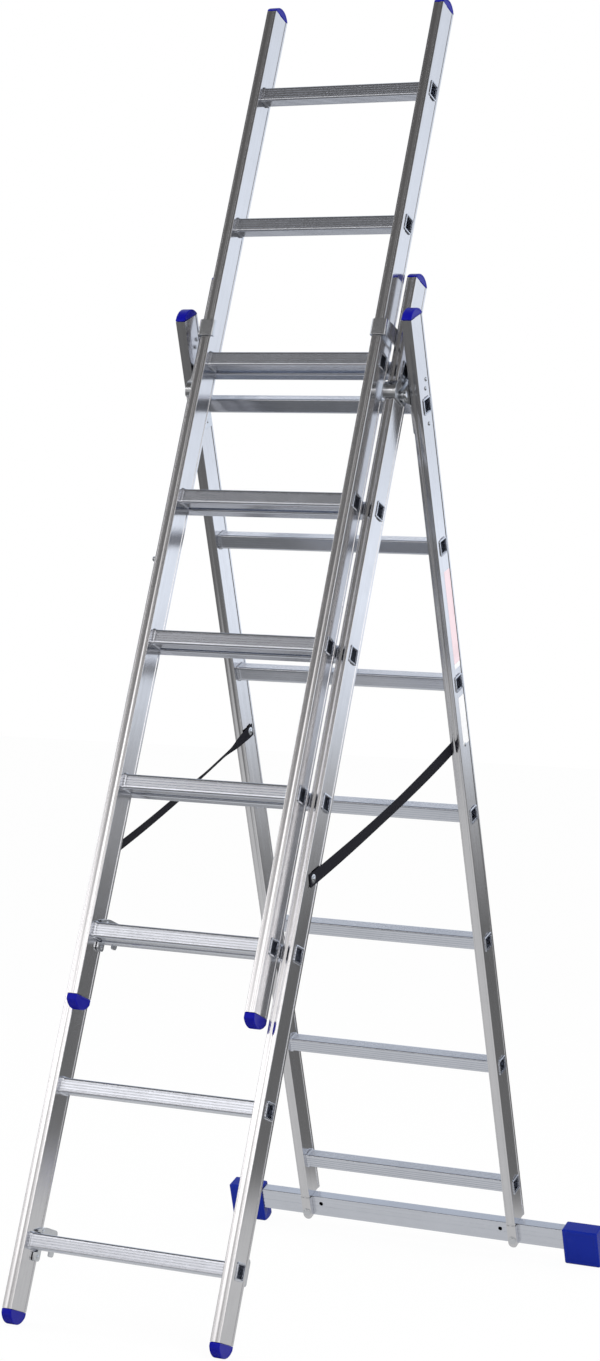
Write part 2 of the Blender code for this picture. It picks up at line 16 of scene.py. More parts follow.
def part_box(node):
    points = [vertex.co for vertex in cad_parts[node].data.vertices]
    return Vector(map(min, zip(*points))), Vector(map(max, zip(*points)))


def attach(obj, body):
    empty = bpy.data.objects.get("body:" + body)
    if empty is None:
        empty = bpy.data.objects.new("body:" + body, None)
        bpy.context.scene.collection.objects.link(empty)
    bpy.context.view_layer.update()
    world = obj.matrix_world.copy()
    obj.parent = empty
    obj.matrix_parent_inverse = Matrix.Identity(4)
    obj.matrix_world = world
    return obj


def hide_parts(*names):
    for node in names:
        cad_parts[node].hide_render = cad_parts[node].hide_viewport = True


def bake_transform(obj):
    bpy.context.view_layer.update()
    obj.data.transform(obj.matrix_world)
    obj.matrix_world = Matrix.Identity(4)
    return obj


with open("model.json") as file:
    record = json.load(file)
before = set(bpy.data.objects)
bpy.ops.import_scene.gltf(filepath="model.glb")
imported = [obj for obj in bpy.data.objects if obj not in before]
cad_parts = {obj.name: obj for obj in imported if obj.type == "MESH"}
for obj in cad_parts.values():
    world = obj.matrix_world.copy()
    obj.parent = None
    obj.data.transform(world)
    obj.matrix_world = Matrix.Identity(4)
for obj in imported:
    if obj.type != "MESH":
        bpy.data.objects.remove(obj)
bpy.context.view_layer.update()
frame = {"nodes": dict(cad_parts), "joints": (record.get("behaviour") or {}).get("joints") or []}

bl_info = {
    "name": "Combination ladder",
    "version": (1, 0, 0),
    "blender": (4, 5, 0),
    "location": "View3D > Sidebar > Ladder",
    "description": "Builds the visible pieces of an aluminium combination ladder round its frame",
    "category": "Object",
}

RUNG_COUNT = 7
SIDES = (("left", -1), ("right", 1))
BODY = {"middle": "middle_section", "upper": "upper_section", "rear": "rear_section"}
# stile below its lowest rung, and above its highest
STILE_ENDS = {"middle": (0.124, 0.179), "upper": (0.122, 0.176), "rear": (0.0857, 0.171)}

BAR_WALL, BAR_HOLE = 0.0018, 0.207  # the hole's place across the ladder
BOOT_START, BOOT_LENGTH = 0.347, 0.077
HOOK_JAW = 0.017  # behind the hook's slot


# ---- sizes and finishes that a user may change ---------------------------------------------

def length_property(name, description, default):
    return FloatProperty(name=name, description=description, default=default, min=0.0, unit="LENGTH",
                         precision=5)


def colour_property(name, description, default):
    return FloatVectorProperty(name=name, description=description, default=default, size=3,
                               subtype="COLOR", min=0.0, max=1.0)


class LadderSizes(bpy.types.PropertyGroup):
    """Sizes of the fine shapes"""
    stile_width: length_property("Stile width", "Stile across the ladder", 0.020)
    stile_depth: length_property("Stile depth", "Stile from front to back", 0.054)
    stile_wall: length_property("Stile wall", "Wall of the stile extrusion", 0.0017)
    stile_step: length_property("Stile step", "How far the broad faces lie back behind their lips", 0.001)
    rung_size: length_property("Rung size", "Side of the square rung tube", 0.028)
    rung_wall: length_property("Rung wall", "Wall of the rung tube", 0.0016)
    collar: length_property("Collar", "How far the swaged collars stand out of the tube", 0.002)
    plate: length_property("Plate", "Thickness of the steel fittings", 0.003)
    strap_width: length_property("Strap width", "Width of the webbing", 0.025)
    strap_thickness: length_property("Strap thickness", "Thickness of the webbing", 0.0014)


class LadderFinishes(bpy.types.PropertyGroup):
    """Colours of the finishes"""
    aluminium: colour_property("Aluminium", "Bare extruded aluminium", (0.80, 0.80, 0.82))
    # The rungs' bluer tint is a painted reflection of the cool surroundings, not a colour of the alloy; the
    # stabiliser bar takes it too
    rung_aluminium: colour_property("Rung aluminium", "The rungs' cooler alloy", (0.78, 0.81, 0.88))
    steel: colour_property("Steel", "Zinc plated steel", (0.72, 0.74, 0.77))
    plastic: colour_property("Plastic", "Moulded caps and feet", (0.002, 0.002, 0.25))
    boot_plastic: colour_property("Boot plastic", "Moulded boots of the stabiliser bar", (0.003, 0.016, 0.25))
    webbing: colour_property("Webbing", "Woven spreader straps", (0.007, 0.007, 0.011))
    label: colour_property("Blank label", "Plain pale labels", (0.93, 0.93, 0.94))
    label_band: colour_property("Label band", "Tinted part of the upper label", (0.88, 0.70, 0.74))
    floor: colour_property("Floor", "Studio floor", (0.92, 0.92, 0.92))


def sizes():
    return bpy.context.scene.ladder_sizes


def finishes():
    return bpy.context.scene.ladder_finishes


# ---- places, read from the frame -----------------------------------------------------------

def node_box(node):
    return tuple(Vector(corner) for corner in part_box(node))


def node_middle(node):
    low, high = node_box(node)
    return (low + high) / 2


def section_matrix(section):
    """Takes a section's own frame to the world."""
    first = node_middle(f"{section}_rung_1")
    up = (node_middle(f"{section}_rung_{RUNG_COUNT}") - first).normalized()
    across = Vector((1.0, 0.0, 0.0))
    back = up.cross(across)
    return Matrix.Translation(first) @ Matrix((across, back, up)).transposed().to_4x4()


def rung_pitch():
    span = node_middle(f"middle_rung_{RUNG_COUNT}") - node_middle("middle_rung_1")
    return span.length / (RUNG_COUNT - 1)


def box_in(section, node):
    """A node's true box in its section's own frame, from its mesh."""
    turn = section_matrix(section).inverted()
    places = [turn @ vert.co for vert in frame["nodes"][node].data.vertices]
    low = Vector([min(place[i] for place in places) for i in range(3)])
    high = Vector([max(place[i] for place in places) for i in range(3)])
    return low, high


def reach_across(low, high):
    """A box's distances from the ladder's middle plane, the nearer first."""
    return sorted((abs(low.x), abs(high.x)))


def half_width(section):
    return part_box(f"{section}_stile_right")[1][0]


def top_rung():
    return (RUNG_COUNT - 1) * rung_pitch()


def joint_place(name):
    joint = next(joint for joint in frame["joints"] if joint["name"] == name)
    return Vector(joint["pos_m"])


# ---- mesh tools ----------------------------------------------------------------------------

def verts_of(geom):
    return [item for item in geom if isinstance(item, bmesh.types.BMVert)]


def faces_of(geom):
    return [item for item in geom if isinstance(item, bmesh.types.BMFace)]


def outline_face(bm, points):
    """One face from points, each a place and the radius of its corner."""
    verts = [bm.verts.new(place) for place, _ in points]
    face = bm.faces.new(verts)
    radii = sorted({radius for _, radius in points if radius > 0})
    pairs = list(zip(verts, [radius for _, radius in points]))
    for radius in radii:
        corners = [vert for vert, own in pairs if own == radius]
        bmesh.ops.bevel(bm, geom=corners, offset=radius, offset_type="OFFSET", segments=4, profile=0.5,
                        affect="VERTICES", material=-1)
        face = max(bm.faces, key=lambda item: item.calc_area())
    return face


def pull(bm, faces, offset):
    """Pulls faces along offset and returns the faces at the far end."""
    pulled = bmesh.ops.extrude_face_region(bm, geom=faces)["geom"]
    bmesh.ops.translate(bm, verts=verts_of(pulled), vec=offset)
    return faces_of(pulled)


def soften(bm, offset, angle=50, segments=2):
    """Bevels every edge sharper than angle, in degrees."""
    limit = math.radians(angle)
    edges = [edge for edge in bm.edges if edge.is_manifold and edge.calc_face_angle() > limit]
    bmesh.ops.bevel(bm, geom=edges, offset=offset, offset_type="OFFSET", segments=segments, profile=0.5,
                    affect="EDGES", clamp_overlap=True, material=-1)


def apply_modifiers(piece):
    """Bakes the piece's modifiers into its mesh."""
    result = bpy.data.meshes.new_from_object(piece.evaluated_get(bpy.context.evaluated_depsgraph_get()))
    piece.modifiers.clear()
    old, piece.data = piece.data, result
    bpy.data.meshes.remove(old)


def even_normals(piece):
    """Keeps broad faces flat to the eye beside their rounded edges."""
    modifier = piece.modifiers.new("even normals", "WEIGHTED_NORMAL")
    modifier.keep_sharp = True
    apply_modifiers(piece)


def make_piece(name, bm, finish, body, place=None, replaces=(), smooth=40, crisp=True):
    """Turns a bmesh into a finished piece that rides on its body."""
    bmesh.ops.remove_doubles(bm, verts=bm.verts, dist=1e-6)
    bmesh.ops.recalc_face_normals(bm, faces=bm.faces)
    if place is not None:
        bm.transform(place)
    mesh = bpy.data.meshes.new(name)
    bm.to_mesh(mesh)
    bm.free()
    mesh.shade_smooth()
    mesh.set_sharp_from_angle(angle=math.radians(smooth))
    mesh.materials.append(finish)
    piece = bpy.data.objects.new(name, mesh)
    bpy.context.scene.collection.objects.link(piece)
    if crisp:
        even_normals(piece)
    if replaces:
        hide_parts(*replaces)
    if body:
        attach(piece, body)
    return piece


def slab(points, offset, edge, angle=55, segments=2):
    """A new bmesh: an outline pulled along offset, with its sharp edges softened."""
    bm = bmesh.new()
    pull(bm, [outline_face(bm, points)], offset)
    soften(bm, edge, angle, segments)
    return bm


def at(points, x):
    """((y, z), radius) points, set at x."""
    return [((x, y, z), radius) for (y, z), radius in points]


def hollow(bm, face, wall):
    """Leaves only a rim of the face, as wide as the wall."""
    bmesh.ops.inset_region(bm, faces=[face], thickness=wall, use_even_offset=True, use_boundary=True)
    bmesh.ops.delete(bm, geom=[face], context="FACES_ONLY")


def add_turned(bm, profile, place, segments=24):
    """Adds a solid of (radius, height) points turned about z, at place."""
    own = bmesh.new()
    verts = [own.verts.new((radius, 0.0, height)) for radius, height in profile]
    edges = [own.edges.new(pair) for pair in zip(verts, verts[1:])]
    bmesh.ops.spin(own, geom=verts + edges, cent=(0, 0, 0), axis=(0, 0, 1), angle=2 * math.pi,
                   steps=segments, use_merge=True)
    add_from(bm, own, place)


def turn_to(axis):
    """Turns +z to axis."""
    return Vector((0.0, 0.0, 1.0)).rotation_difference(Vector(axis)).to_matrix().to_4x4()


def dome(bm, centre, axis, radius, height):
    """Adds a rivet's domed head, standing on centre."""
    steps = 5
    profile = [(0.0, -0.0004), (radius, -0.0004)]
    for i in range(steps):
        angle = math.pi / 2 * i / steps
        profile.append((radius * math.cos(angle), height * math.sin(angle)))
    profile.append((0.0, height))
    add_turned(bm, profile, Matrix.Translation(centre) @ turn_to(axis), 16)


def add_from(bm, own, place):
    """Copies own into bm at place, and frees own."""
    bmesh.ops.remove_doubles(own, verts=own.verts, dist=1e-6)
    bmesh.ops.recalc_face_normals(own, faces=own.faces)
    own.transform(place)
    mesh = bpy.data.meshes.new("passing")
    own.to_mesh(mesh)
    own.free()
    bm.from_mesh(mesh)
    bpy.data.meshes.remove(mesh)


def make_fitting(name, bm, section, node, place=None):
    """Finishes a steel piece that stands for a CAD node."""
    if place is None:
        place = section_matrix(section)
    return make_piece(name, bm, plated_steel(), BODY[section], place, (node,))


# ---- node tools ----------------------------------------------------------------------------

def new_group(name, inputs, outputs):
    tree = bpy.data.node_groups.new(name, "ShaderNodeTree")
    for label, kind, default in inputs:
        socket = tree.interface.new_socket(name=label, in_out="INPUT", socket_type=kind)
        if default is not None:
            socket.default_value = default
    for label, kind in outputs:
        tree.interface.new_socket(name=label, in_out="OUTPUT", socket_type=kind)
    return tree, tree.nodes.new("NodeGroupInput"), tree.nodes.new("NodeGroupOutput")


def add_node(tree, kind, settings=None, **values):
    node = tree.nodes.new(kind)
    for key, value in (settings or {}).items():
        setattr(node, key, value)
    for key, value in values.items():
        node.inputs[key.replace("_", " ")].default_value = value
    return node


def maths(tree, operation, first, second):
    node = tree.nodes.new("ShaderNodeMath")
    node.operation = operation
    for socket, value in zip(node.inputs, (first, second)):
        if isinstance(value, bpy.types.NodeSocket):
            tree.links.new(value, socket)
        else:
            socket.default_value = value
    return node.outputs[0]


def weighted(tree, *terms):
    """The sum of (value, weight) terms; a term without a weight counts in full."""
    total = None
    for value, *weight in terms:
        part = maths(tree, "MULTIPLY", value, weight[0]) if weight else value
        total = part if total is None else maths(tree, "ADD", total, part)
    return total


def map_range(tree, value, low, high, new_low, new_high):
    node = tree.nodes.new("ShaderNodeMapRange")
    tree.links.new(value, node.inputs["Value"])
    for label, number in (("From Min", low), ("From Max", high), ("To Min", new_low), ("To Max", new_high)):
        node.inputs[label].default_value = number
    return node.outputs["Result"]


def mix_colours(tree, factor, first, second):
    """first, turning to second as factor rises; each a colour or a node's socket."""
    mix = add_node(tree, "ShaderNodeMix", {"data_type": "RGBA", "blend_type": "MIX"})
    tree.links.new(factor, mix.inputs["Factor"])
    for label, value in (("A", first), ("B", second)):
        if isinstance(value, bpy.types.NodeSocket):
            tree.links.new(value, mix.inputs[label])
        else:
            mix.inputs[label].default_value = (*value, 1.0)
    return mix.outputs["Result"]


def mix_shaders(tree, factor, first, second):
    mix = tree.nodes.new("ShaderNodeMixShader")
    for number, socket in enumerate((factor, first, second)):
        tree.links.new(socket, mix.inputs[number])
    return mix.outputs["Shader"]


def ramp_node(tree, value, stops, tint=(1.0, 1.0, 1.0)):
    """A grey ramp, tinted, through (place, brightness) stops."""
    ramp = tree.nodes.new("ShaderNodeValToRGB")
    elements = ramp.color_ramp.elements
    while len(elements) < len(stops):
        elements.new(0.5)
    for element, (place, brightness) in zip(elements, stops):
        element.position = place
    for element, (place, brightness) in zip(elements, stops):
        element.color = (*[brightness * channel for channel in tint], 1.0)
    tree.links.new(value, ramp.inputs["Fac"])
    return ramp.outputs["Color"]


def drawn_grain_group():
    """Fine lines along the vector's z, as a drawn or extruded metal has."""
    name = "Drawn grain"
    if name in bpy.data.node_groups:
        return bpy.data.node_groups[name]
    tree, given, out = new_group(name, [
        ("Vector", "NodeSocketVector", None), ("Lines", "NodeSocketFloat", 900.0),
        ("Stretch", "NodeSocketFloat", 0.006)],
        [("Streaks", "NodeSocketFloat"), ("Patches", "NodeSocketFloat"), ("Height", "NodeSocketFloat")])
    squeeze = tree.nodes.new("ShaderNodeCombineXYZ")
    tree.links.new(given.outputs["Lines"], squeeze.inputs["X"])
    tree.links.new(given.outputs["Lines"], squeeze.inputs["Y"])
    tree.links.new(maths(tree, "MULTIPLY", given.outputs["Lines"], given.outputs["Stretch"]),
                   squeeze.inputs["Z"])
    scaled = add_node(tree, "ShaderNodeVectorMath", {"operation": "MULTIPLY"})
    tree.links.new(given.outputs["Vector"], scaled.inputs[0])
    tree.links.new(squeeze.outputs[0], scaled.inputs[1])
    fine = add_node(tree, "ShaderNodeTexNoise", Scale=1.0, Detail=3.0, Roughness=0.6)
    tree.links.new(scaled.outputs[0], fine.inputs["Vector"])
    broad = add_node(tree, "ShaderNodeTexNoise", Scale=0.16, Detail=2.0)
    tree.links.new(scaled.outputs[0], broad.inputs["Vector"])
    patches = add_node(tree, "ShaderNodeTexNoise", Scale=9.0, Detail=4.0, Roughness=0.65)
    tree.links.new(given.outputs["Vector"], patches.inputs["Vector"])
    streaks = weighted(tree, (fine.outputs["Fac"], 0.5), (broad.outputs["Fac"], 0.5))
    tree.links.new(streaks, out.inputs["Streaks"])
    tree.links.new(patches.outputs["Fac"], out.inputs["Patches"])
    tree.links.new(fine.outputs["Fac"], out.inputs["Height"])
    return tree


def handling_group():
    """Scuffs, finger marks and dust that every finish picks up in use."""
    name = "Handling marks"
    if name in bpy.data.node_groups:
        return bpy.data.node_groups[name]
    tree, given, out = new_group(name, [("Vector", "NodeSocketVector", None),
                                        ("Amount", "NodeSocketFloat", 0.5)],
                                 [("Smudge", "NodeSocketFloat"), ("Scratch", "NodeSocketFloat")])
    smudge = add_node(tree, "ShaderNodeTexNoise", Scale=22.0, Detail=6.0, Roughness=0.7)
    tree.links.new(given.outputs["Vector"], smudge.inputs["Vector"])
    marks = map_range(tree, smudge.outputs["Fac"], 0.50, 0.72, 0.0, 1.0)
    tree.links.new(maths(tree, "MULTIPLY", marks, given.outputs["Amount"]), out.inputs["Smudge"])
    lines = add_node(tree, "ShaderNodeTexVoronoi", {"feature": "DISTANCE_TO_EDGE"}, Scale=34.0,
                     Randomness=1.0)
    tree.links.new(given.outputs["Vector"], lines.inputs["Vector"])
    scratch = map_range(tree, lines.outputs["Distance"], 0.0, 0.012, 1.0, 0.0)
    gate = map_range(tree, smudge.outputs["Fac"], 0.55, 0.62, 0.0, 1.0)
    tree.links.new(maths(tree, "MULTIPLY", maths(tree, "MULTIPLY", scratch, gate), given.outputs["Amount"]),
                   out.inputs["Scratch"])
    return tree


def start_material(name, lean=0.0, across=False):
    """A new material with its shader and a vector whose z runs along the piece."""
    result = bpy.data.materials.new(name)
    result.use_nodes = True
    tree = result.node_tree
    shader = tree.nodes["Principled BSDF"]
    coordinates = tree.nodes.new("ShaderNodeTexCoord")
    mapping = tree.nodes.new("ShaderNodeMapping")
    tree.links.new(coordinates.outputs["Object"], mapping.inputs["Vector"])
    mapping.inputs["Rotation"].default_value = (0.0, math.pi / 2, 0.0) if across else (lean, 0.0, 0.0)
    return result, tree, shader, mapping.outputs["Vector"]


def place_group(tree, group, vector, **values):
    node = tree.nodes.new("ShaderNodeGroup")
    node.node_tree = group
    tree.links.new(vector, node.inputs["Vector"])
    for key, value in values.items():
        node.inputs[key].default_value = value
    return node


def shade_colour(tree, base, factor, amount):
    """base, darkened by up to amount where factor is 1."""
    return mix_colours(tree, factor, base, [channel * (1.0 - amount) for channel in base])


def add_bump(tree, shader, height, strength, distance):
    bump = add_node(tree, "ShaderNodeBump", Strength=strength, Distance=distance)
    tree.links.new(height, bump.inputs["Height"])
    tree.links.new(bump.outputs["Normal"], shader.inputs["Normal"])


def extruded_aluminium(name, lean=0.0, across=False):
    """Bare aluminium with drawing lines along it."""
    if name in bpy.data.materials:
        return bpy.data.materials[name]
    result, tree, shader, vector = start_material(name, lean, across)
    grain = place_group(tree, drawn_grain_group(), vector, Lines=1100.0, Stretch=0.004)
    marks = place_group(tree, handling_group(), vector, Amount=0.5)
    dull = map_range(tree, grain.outputs["Streaks"], 0.30, 0.70, 0.0, 1.0)
    mottle = map_range(tree, grain.outputs["Patches"], 0.35, 0.70, 0.0, 0.4)
    soiled = weighted(tree, (dull, 0.5), (mottle,), (marks.outputs["Smudge"], 0.3))
    # rungs and bar: aluminium tinted blue, a painted reflection of the cool surroundings
    base = finishes().rung_aluminium if across else finishes().aluminium
    tree.links.new(shade_colour(tree, base, soiled, 0.13), shader.inputs["Base Color"])
    low, high = (0.18, 0.24) if across else (0.13, 0.20)
    rough = map_range(tree, grain.outputs["Streaks"], 0.25, 0.75, low, high)
    rough = weighted(tree, (rough,), (marks.outputs["Smudge"], 0.05), (marks.outputs["Scratch"], 0.05))
    tree.links.new(rough, shader.inputs["Roughness"])
    shader.inputs["Metallic"].default_value = 1.0
    shader.inputs["Anisotropic"].default_value = 0.3
    shader.inputs["Anisotropic Rotation"].default_value = 0.25 if across else 0.0
    add_bump(tree, shader, grain.outputs["Height"], 0.03 if across else 0.06, 0.0004)
    return result


def plated_steel():
    """Bright zinc plating with faint spangle."""
    name = "Zinc plated steel"
    if name in bpy.data.materials:
        return bpy.data.materials[name]
    result, tree, shader, vector = start_material(name)
    spangle = add_node(tree, "ShaderNodeTexVoronoi", Scale=260.0, Randomness=1.0)
    tree.links.new(vector, spangle.inputs["Vector"])
    marks = place_group(tree, handling_group(), vector, Amount=0.7)
    split = tree.nodes.new("ShaderNodeSeparateColor")
    tree.links.new(spangle.outputs["Color"], split.inputs["Color"])
    patch = weighted(tree, (split.outputs["Red"], 0.5), (marks.outputs["Smudge"], 0.5))
    tree.links.new(shade_colour(tree, finishes().steel, patch, 0.10), shader.inputs["Base Color"])
    rough = map_range(tree, patch, 0.0, 1.0, 0.17, 0.30)
    tree.links.new(rough, shader.inputs["Roughness"])
    shader.inputs["Metallic"].default_value = 1.0
    add_bump(tree, shader, marks.outputs["Smudge"], 0.05, 0.0003)
    return result


def moulded_plastic(name, colour):
    """Blue moulded plastic with a fine spark-eroded grain and scuffed patches."""
    if name in bpy.data.materials:
        return bpy.data.materials[name]
    result, tree, shader, vector = start_material(name)
    grain = add_node(tree, "ShaderNodeTexNoise", Scale=1500.0, Detail=2.0, Roughness=0.6)
    tree.links.new(vector, grain.inputs["Vector"])
    marks = place_group(tree, handling_group(), vector, Amount=0.8)
    worn = weighted(tree, (marks.outputs["Smudge"], 0.5), (marks.outputs["Scratch"], 0.5))
    paler = (colour[0] + 0.012, colour[1] + 0.014, colour[2] + 0.03)
    tree.links.new(mix_colours(tree, worn, colour, paler), shader.inputs["Base Color"])
    rough = weighted(tree, (map_range(tree, grain.outputs["Fac"], 0.3, 0.7, 0.27, 0.36),), (worn, 0.2))
    tree.links.new(rough, shader.inputs["Roughness"])
    shader.inputs["Specular IOR Level"].default_value = 0.36
    shader.inputs["Specular Tint"].default_value = (0.34, 0.38, 1.0, 1.0)
    add_bump(tree, shader, grain.outputs["Fac"], 0.12, 0.0002)
    return result


def woven_webbing():
    """Black webbing: a twill weave laid out on the strap's own UV map, in metres."""
    name = "Woven webbing"
    if name in bpy.data.materials:
        return bpy.data.materials[name]
    result = bpy.data.materials.new(name)
    result.use_nodes = True
    tree = result.node_tree
    shader = tree.nodes["Principled BSDF"]
    layout = tree.nodes.new("ShaderNodeUVMap")
    layout.uv_map = "weave"
    mapping = tree.nodes.new("ShaderNodeMapping")
    mapping.inputs["Scale"].default_value = (520.0, 520.0, 1.0)
    mapping.inputs["Rotation"].default_value = (0.0, 0.0, math.radians(38))
    tree.links.new(layout.outputs["UV"], mapping.inputs["Vector"])
    warp = add_node(tree, "ShaderNodeTexWave", {"wave_type": "BANDS", "bands_direction": "X"}, Scale=0.32,
                    Distortion=0.6, Detail=1.0)
    weft = add_node(tree, "ShaderNodeTexWave", {"wave_type": "BANDS", "bands_direction": "Y"}, Scale=0.20,
                    Distortion=0.4, Detail=1.0)
    for wave in (warp, weft):
        tree.links.new(mapping.outputs["Vector"], wave.inputs["Vector"])
    threads = maths(tree, "MULTIPLY", warp.outputs["Fac"], weft.outputs["Fac"])
    base = finishes().webbing
    lit = (base[0] + 0.018, base[1] + 0.018, base[2] + 0.026)
    tree.links.new(mix_colours(tree, threads, base, lit), shader.inputs["Base Color"])
    tree.links.new(map_range(tree, threads, 0.0, 1.0, 0.92, 0.74), shader.inputs["Roughness"])
    shader.inputs["Specular IOR Level"].default_value = 0.22
    add_bump(tree, shader, threads, 0.6, 0.0005)
    return result


def label_film(name, colour):
    """Blank self-adhesive film, a little yellowed and scuffed."""
    if name in bpy.data.materials:
        return bpy.data.materials[name]
    result, tree, shader, vector = start_material(name)
    marks = place_group(tree, handling_group(), vector, Amount=0.8)
    smudge = marks.outputs["Smudge"]
    tree.links.new(shade_colour(tree, colour, smudge, 0.12), shader.inputs["Base Color"])
    tree.links.new(weighted(tree, (smudge, 0.2), (0.34,)), shader.inputs["Roughness"])
    return result


def aluminium_for(section):
    up = section_matrix(section).to_3x3() @ Vector((0.0, 0.0, 1.0))
    lean = math.atan2(up.y, up.z)
    return extruded_aluminium(f"Extruded aluminium, {section} stiles", lean)


def rung_aluminium():
    return extruded_aluminium("Extruded aluminium, rungs", across=True)


# ---- stiles --------------------------------------------------------------------------------

def stile_outline():
    """The stile's section round its middle, as ((x, y), corner radius): lips, recesses and grooves."""
    half_x, half_y, step = sizes().stile_width / 2, sizes().stile_depth / 2, sizes().stile_step
    rounded, slight = 0.0014, 0.0004
    front_lip, back_lip = 0.018, 0.006
    # where each line of a narrow face lies, half its width, and its depth
    lines = ((0.0062, 0.0006, 0.0004), (0.0, 0.0025, 0.0009), (-0.0062, 0.0006, 0.0004))

    def narrow_face(side, y, inward):
        points = [((side * half_x, y), rounded)]
        for centre, reach, sink in lines:
            for along, depth in ((reach, 0), (reach * 0.55, sink), (-reach * 0.55, sink), (-reach, 0)):
                points.append(((side * (centre + along), y + inward * depth), 0))
        return points

    def broad_face(side, first, last, heading):
        recess = side * (half_x - step)
        return [((side * half_x, first), slight), ((recess, first + heading * step), 0),
                ((recess, last - heading * step), 0), ((side * half_x, last), slight)]

    front, back = front_lip - half_y, half_y - back_lip
    return [*narrow_face(1, half_y, -1), ((-half_x, half_y), rounded), *broad_face(-1, back, front, -1),
            *narrow_face(-1, -half_y, 1), ((half_x, -half_y), rounded), *broad_face(1, front, back, 1)]


def add_stile(bm, centre_x, low, high):
    """A hollow extrusion, with the places of its rung holes cut through both broad walls."""
    own = bmesh.new()
    face = outline_face(own, [((x, y, low), radius) for (x, y), radius in stile_outline()])
    hollow(own, face, sizes().stile_wall)
    pull(own, own.faces[:], (0, 0, high - low))
    hole = sizes().rung_size / 2 + 0.0004
    levels = [i * rung_pitch() + edge for i in range(RUNG_COUNT) for edge in (-hole, hole)]
    cuts = [((0, 0, level), (0, 0, 1)) for level in levels]
    cuts += [((0, edge, 0), (0, 1, 0)) for edge in (-hole, hole)]
    for place, normal in cuts:
        bmesh.ops.bisect_plane(own, geom=own.verts[:] + own.edges[:] + own.faces[:], plane_co=place,
                               plane_no=normal)
    for i in range(RUNG_COUNT):
        cut_window(own, i * rung_pitch(), hole)
    add_from(bm, own, Matrix.Translation((centre_x, 0, 0)))


def cut_window(own, level, hole):
    """Opens both walls of the stile round one rung and closes the cut edges."""
    for side in (-1, 1):
        doomed = []
        for face in own.faces:
            middle = face.calc_center_median()
            if abs(middle.z - level) < hole and abs(middle.y) < hole and middle.x * side > 0:
                doomed.append(face)
        bmesh.ops.delete(own, geom=doomed, context="FACES")
        rim = [edge for edge in own.edges if edge.is_boundary
               and all(vert.co.x * side > 0 and abs(vert.co.z - level) < hole * 1.01 for vert in edge.verts)]
        bmesh.ops.bridge_loops(own, edges=rim)


def add_foot_strip(bm, centre_x, notch, bolt_z):
    """The front strip of a rear stile below its notch, rounded at the bolt."""
    half, deep = sizes().stile_width / 2, 0.0118
    front, start, end = -sizes().stile_depth / 2, notch + 0.004, bolt_z - 0.018
    points = [((-half, front, start), 0), ((half, front, start), 0),
              ((half, front, end), half * 0.96), ((-half, front, end), half * 0.96)]
    add_from(bm, slab(points, (0, deep, 0), 0.0008, 60), Matrix.Translation((centre_x, 0, 0)))


class LADDER_OT_stiles(bpy.types.Operator):
    """Build the six stiles with their stepped and grooved faces"""
    bl_idname = "ladder.stiles"
    bl_label = "Stiles"

    def execute(self, context):
        for section, body in BODY.items():
            place = section_matrix(section)
            foot, head = STILE_ENDS[section]
            for word, side in SIDES:
                bm = bmesh.new()
                centre_x = side * (half_width(section) - sizes().stile_width / 2)
                add_stile(bm, centre_x, -foot, top_rung() + head)
                if section == "rear":
                    bolt = place.inverted() @ node_middle(f"traverse_bolt_{word}")
                    add_foot_strip(bm, centre_x, -foot, bolt.z)
                make_piece(f"{section}_stile_{word}_shell", bm, aluminium_for(section), body, place,
                           (f"{section}_stile_{word}",))
        return {"FINISHED"}


# ---- rungs ---------------------------------------------------------------------------------

def rung_outline():
    """The ribbed square tube, as ((y, z), corner radius)."""
    half = sizes().rung_size / 2
    corner, rib, sink = 0.0035, 0.0008, 0.0006
    points = []
    for cosine, sine in ((1, 0), (0, 1), (-1, 0), (0, -1)):
        line = [(half, -half, corner)]
        for centre in (-0.0072, -0.0024, 0.0024, 0.0072):
            line += [(half, centre - rib, 0), (half - sink, centre - rib * 0.5, 0),
                     (half - sink, centre + rib * 0.5, 0), (half, centre + rib, 0)]
        for a, b, radius in line:
            points.append(((a * cosine - b * sine, a * sine + b * cosine), radius))
    return points


def rung_stations(width):
    """Places across the ladder, each with the tube's scale there."""
    collar = 1.0 + 2 * sizes().collar / sizes().rung_size
    outer, inner = width, width - sizes().stile_width
    half = [(outer + 0.0018, collar * 0.955), (outer + 0.0015, collar * 0.99), (outer + 0.0010, collar),
            (outer + 0.0002, collar), (outer - 0.0004, 1.0), (inner + 0.0004, 1.0),
            (inner - 0.0001, collar * 0.99), (inner - 0.0012, collar), (inner - 0.0024, collar * 0.985),
            (inner - 0.0040, 1.03), (inner - 0.0060, 1.0), (inner - 0.0600, 1.0)]
    return [(-x, scale) for x, scale in half] + [(x, scale) for x, scale in reversed(half)]


def add_rung(bm, width, level):
    """One rung: the outline's wall pulled from station to station."""
    own = bmesh.new()
    stations = rung_stations(width)
    start, scale = stations[0]
    hollow(own, outline_face(own, at(rung_outline(), start)), sizes().rung_wall)
    end = own.faces[:]
    bmesh.ops.scale(own, vec=(1, scale, scale), verts=own.verts[:])
    for (x, scale), (next_x, next_scale) in zip(stations, stations[1:]):
        pulled = bmesh.ops.extrude_face_region(own, geom=end)["geom"]
        moved = verts_of(pulled)
        bmesh.ops.translate(own, verts=moved, vec=(next_x - x, 0, 0))
        ratio = next_scale / scale
        bmesh.ops.scale(own, vec=(1, ratio, ratio), verts=moved)
        end = faces_of(pulled)
    add_from(bm, own, Matrix.Translation((0, 0, level)))


class LADDER_OT_rungs(bpy.types.Operator):
    """Build the ribbed rungs with their swaged ends"""
    bl_idname = "ladder.rungs"
    bl_label = "Rungs"

    def execute(self, context):
        for section, body in BODY.items():
            place = section_matrix(section)
            for i in range(RUNG_COUNT):
                bm = bmesh.new()
                add_rung(bm, half_width(section), i * rung_pitch())
                make_piece(f"{section}_rung_{i + 1}_tube", bm, rung_aluminium(), body, place,
                           (f"{section}_rung_{i + 1}",))
        return {"FINISHED"}


# ---- caps and feet -------------------------------------------------------------------------

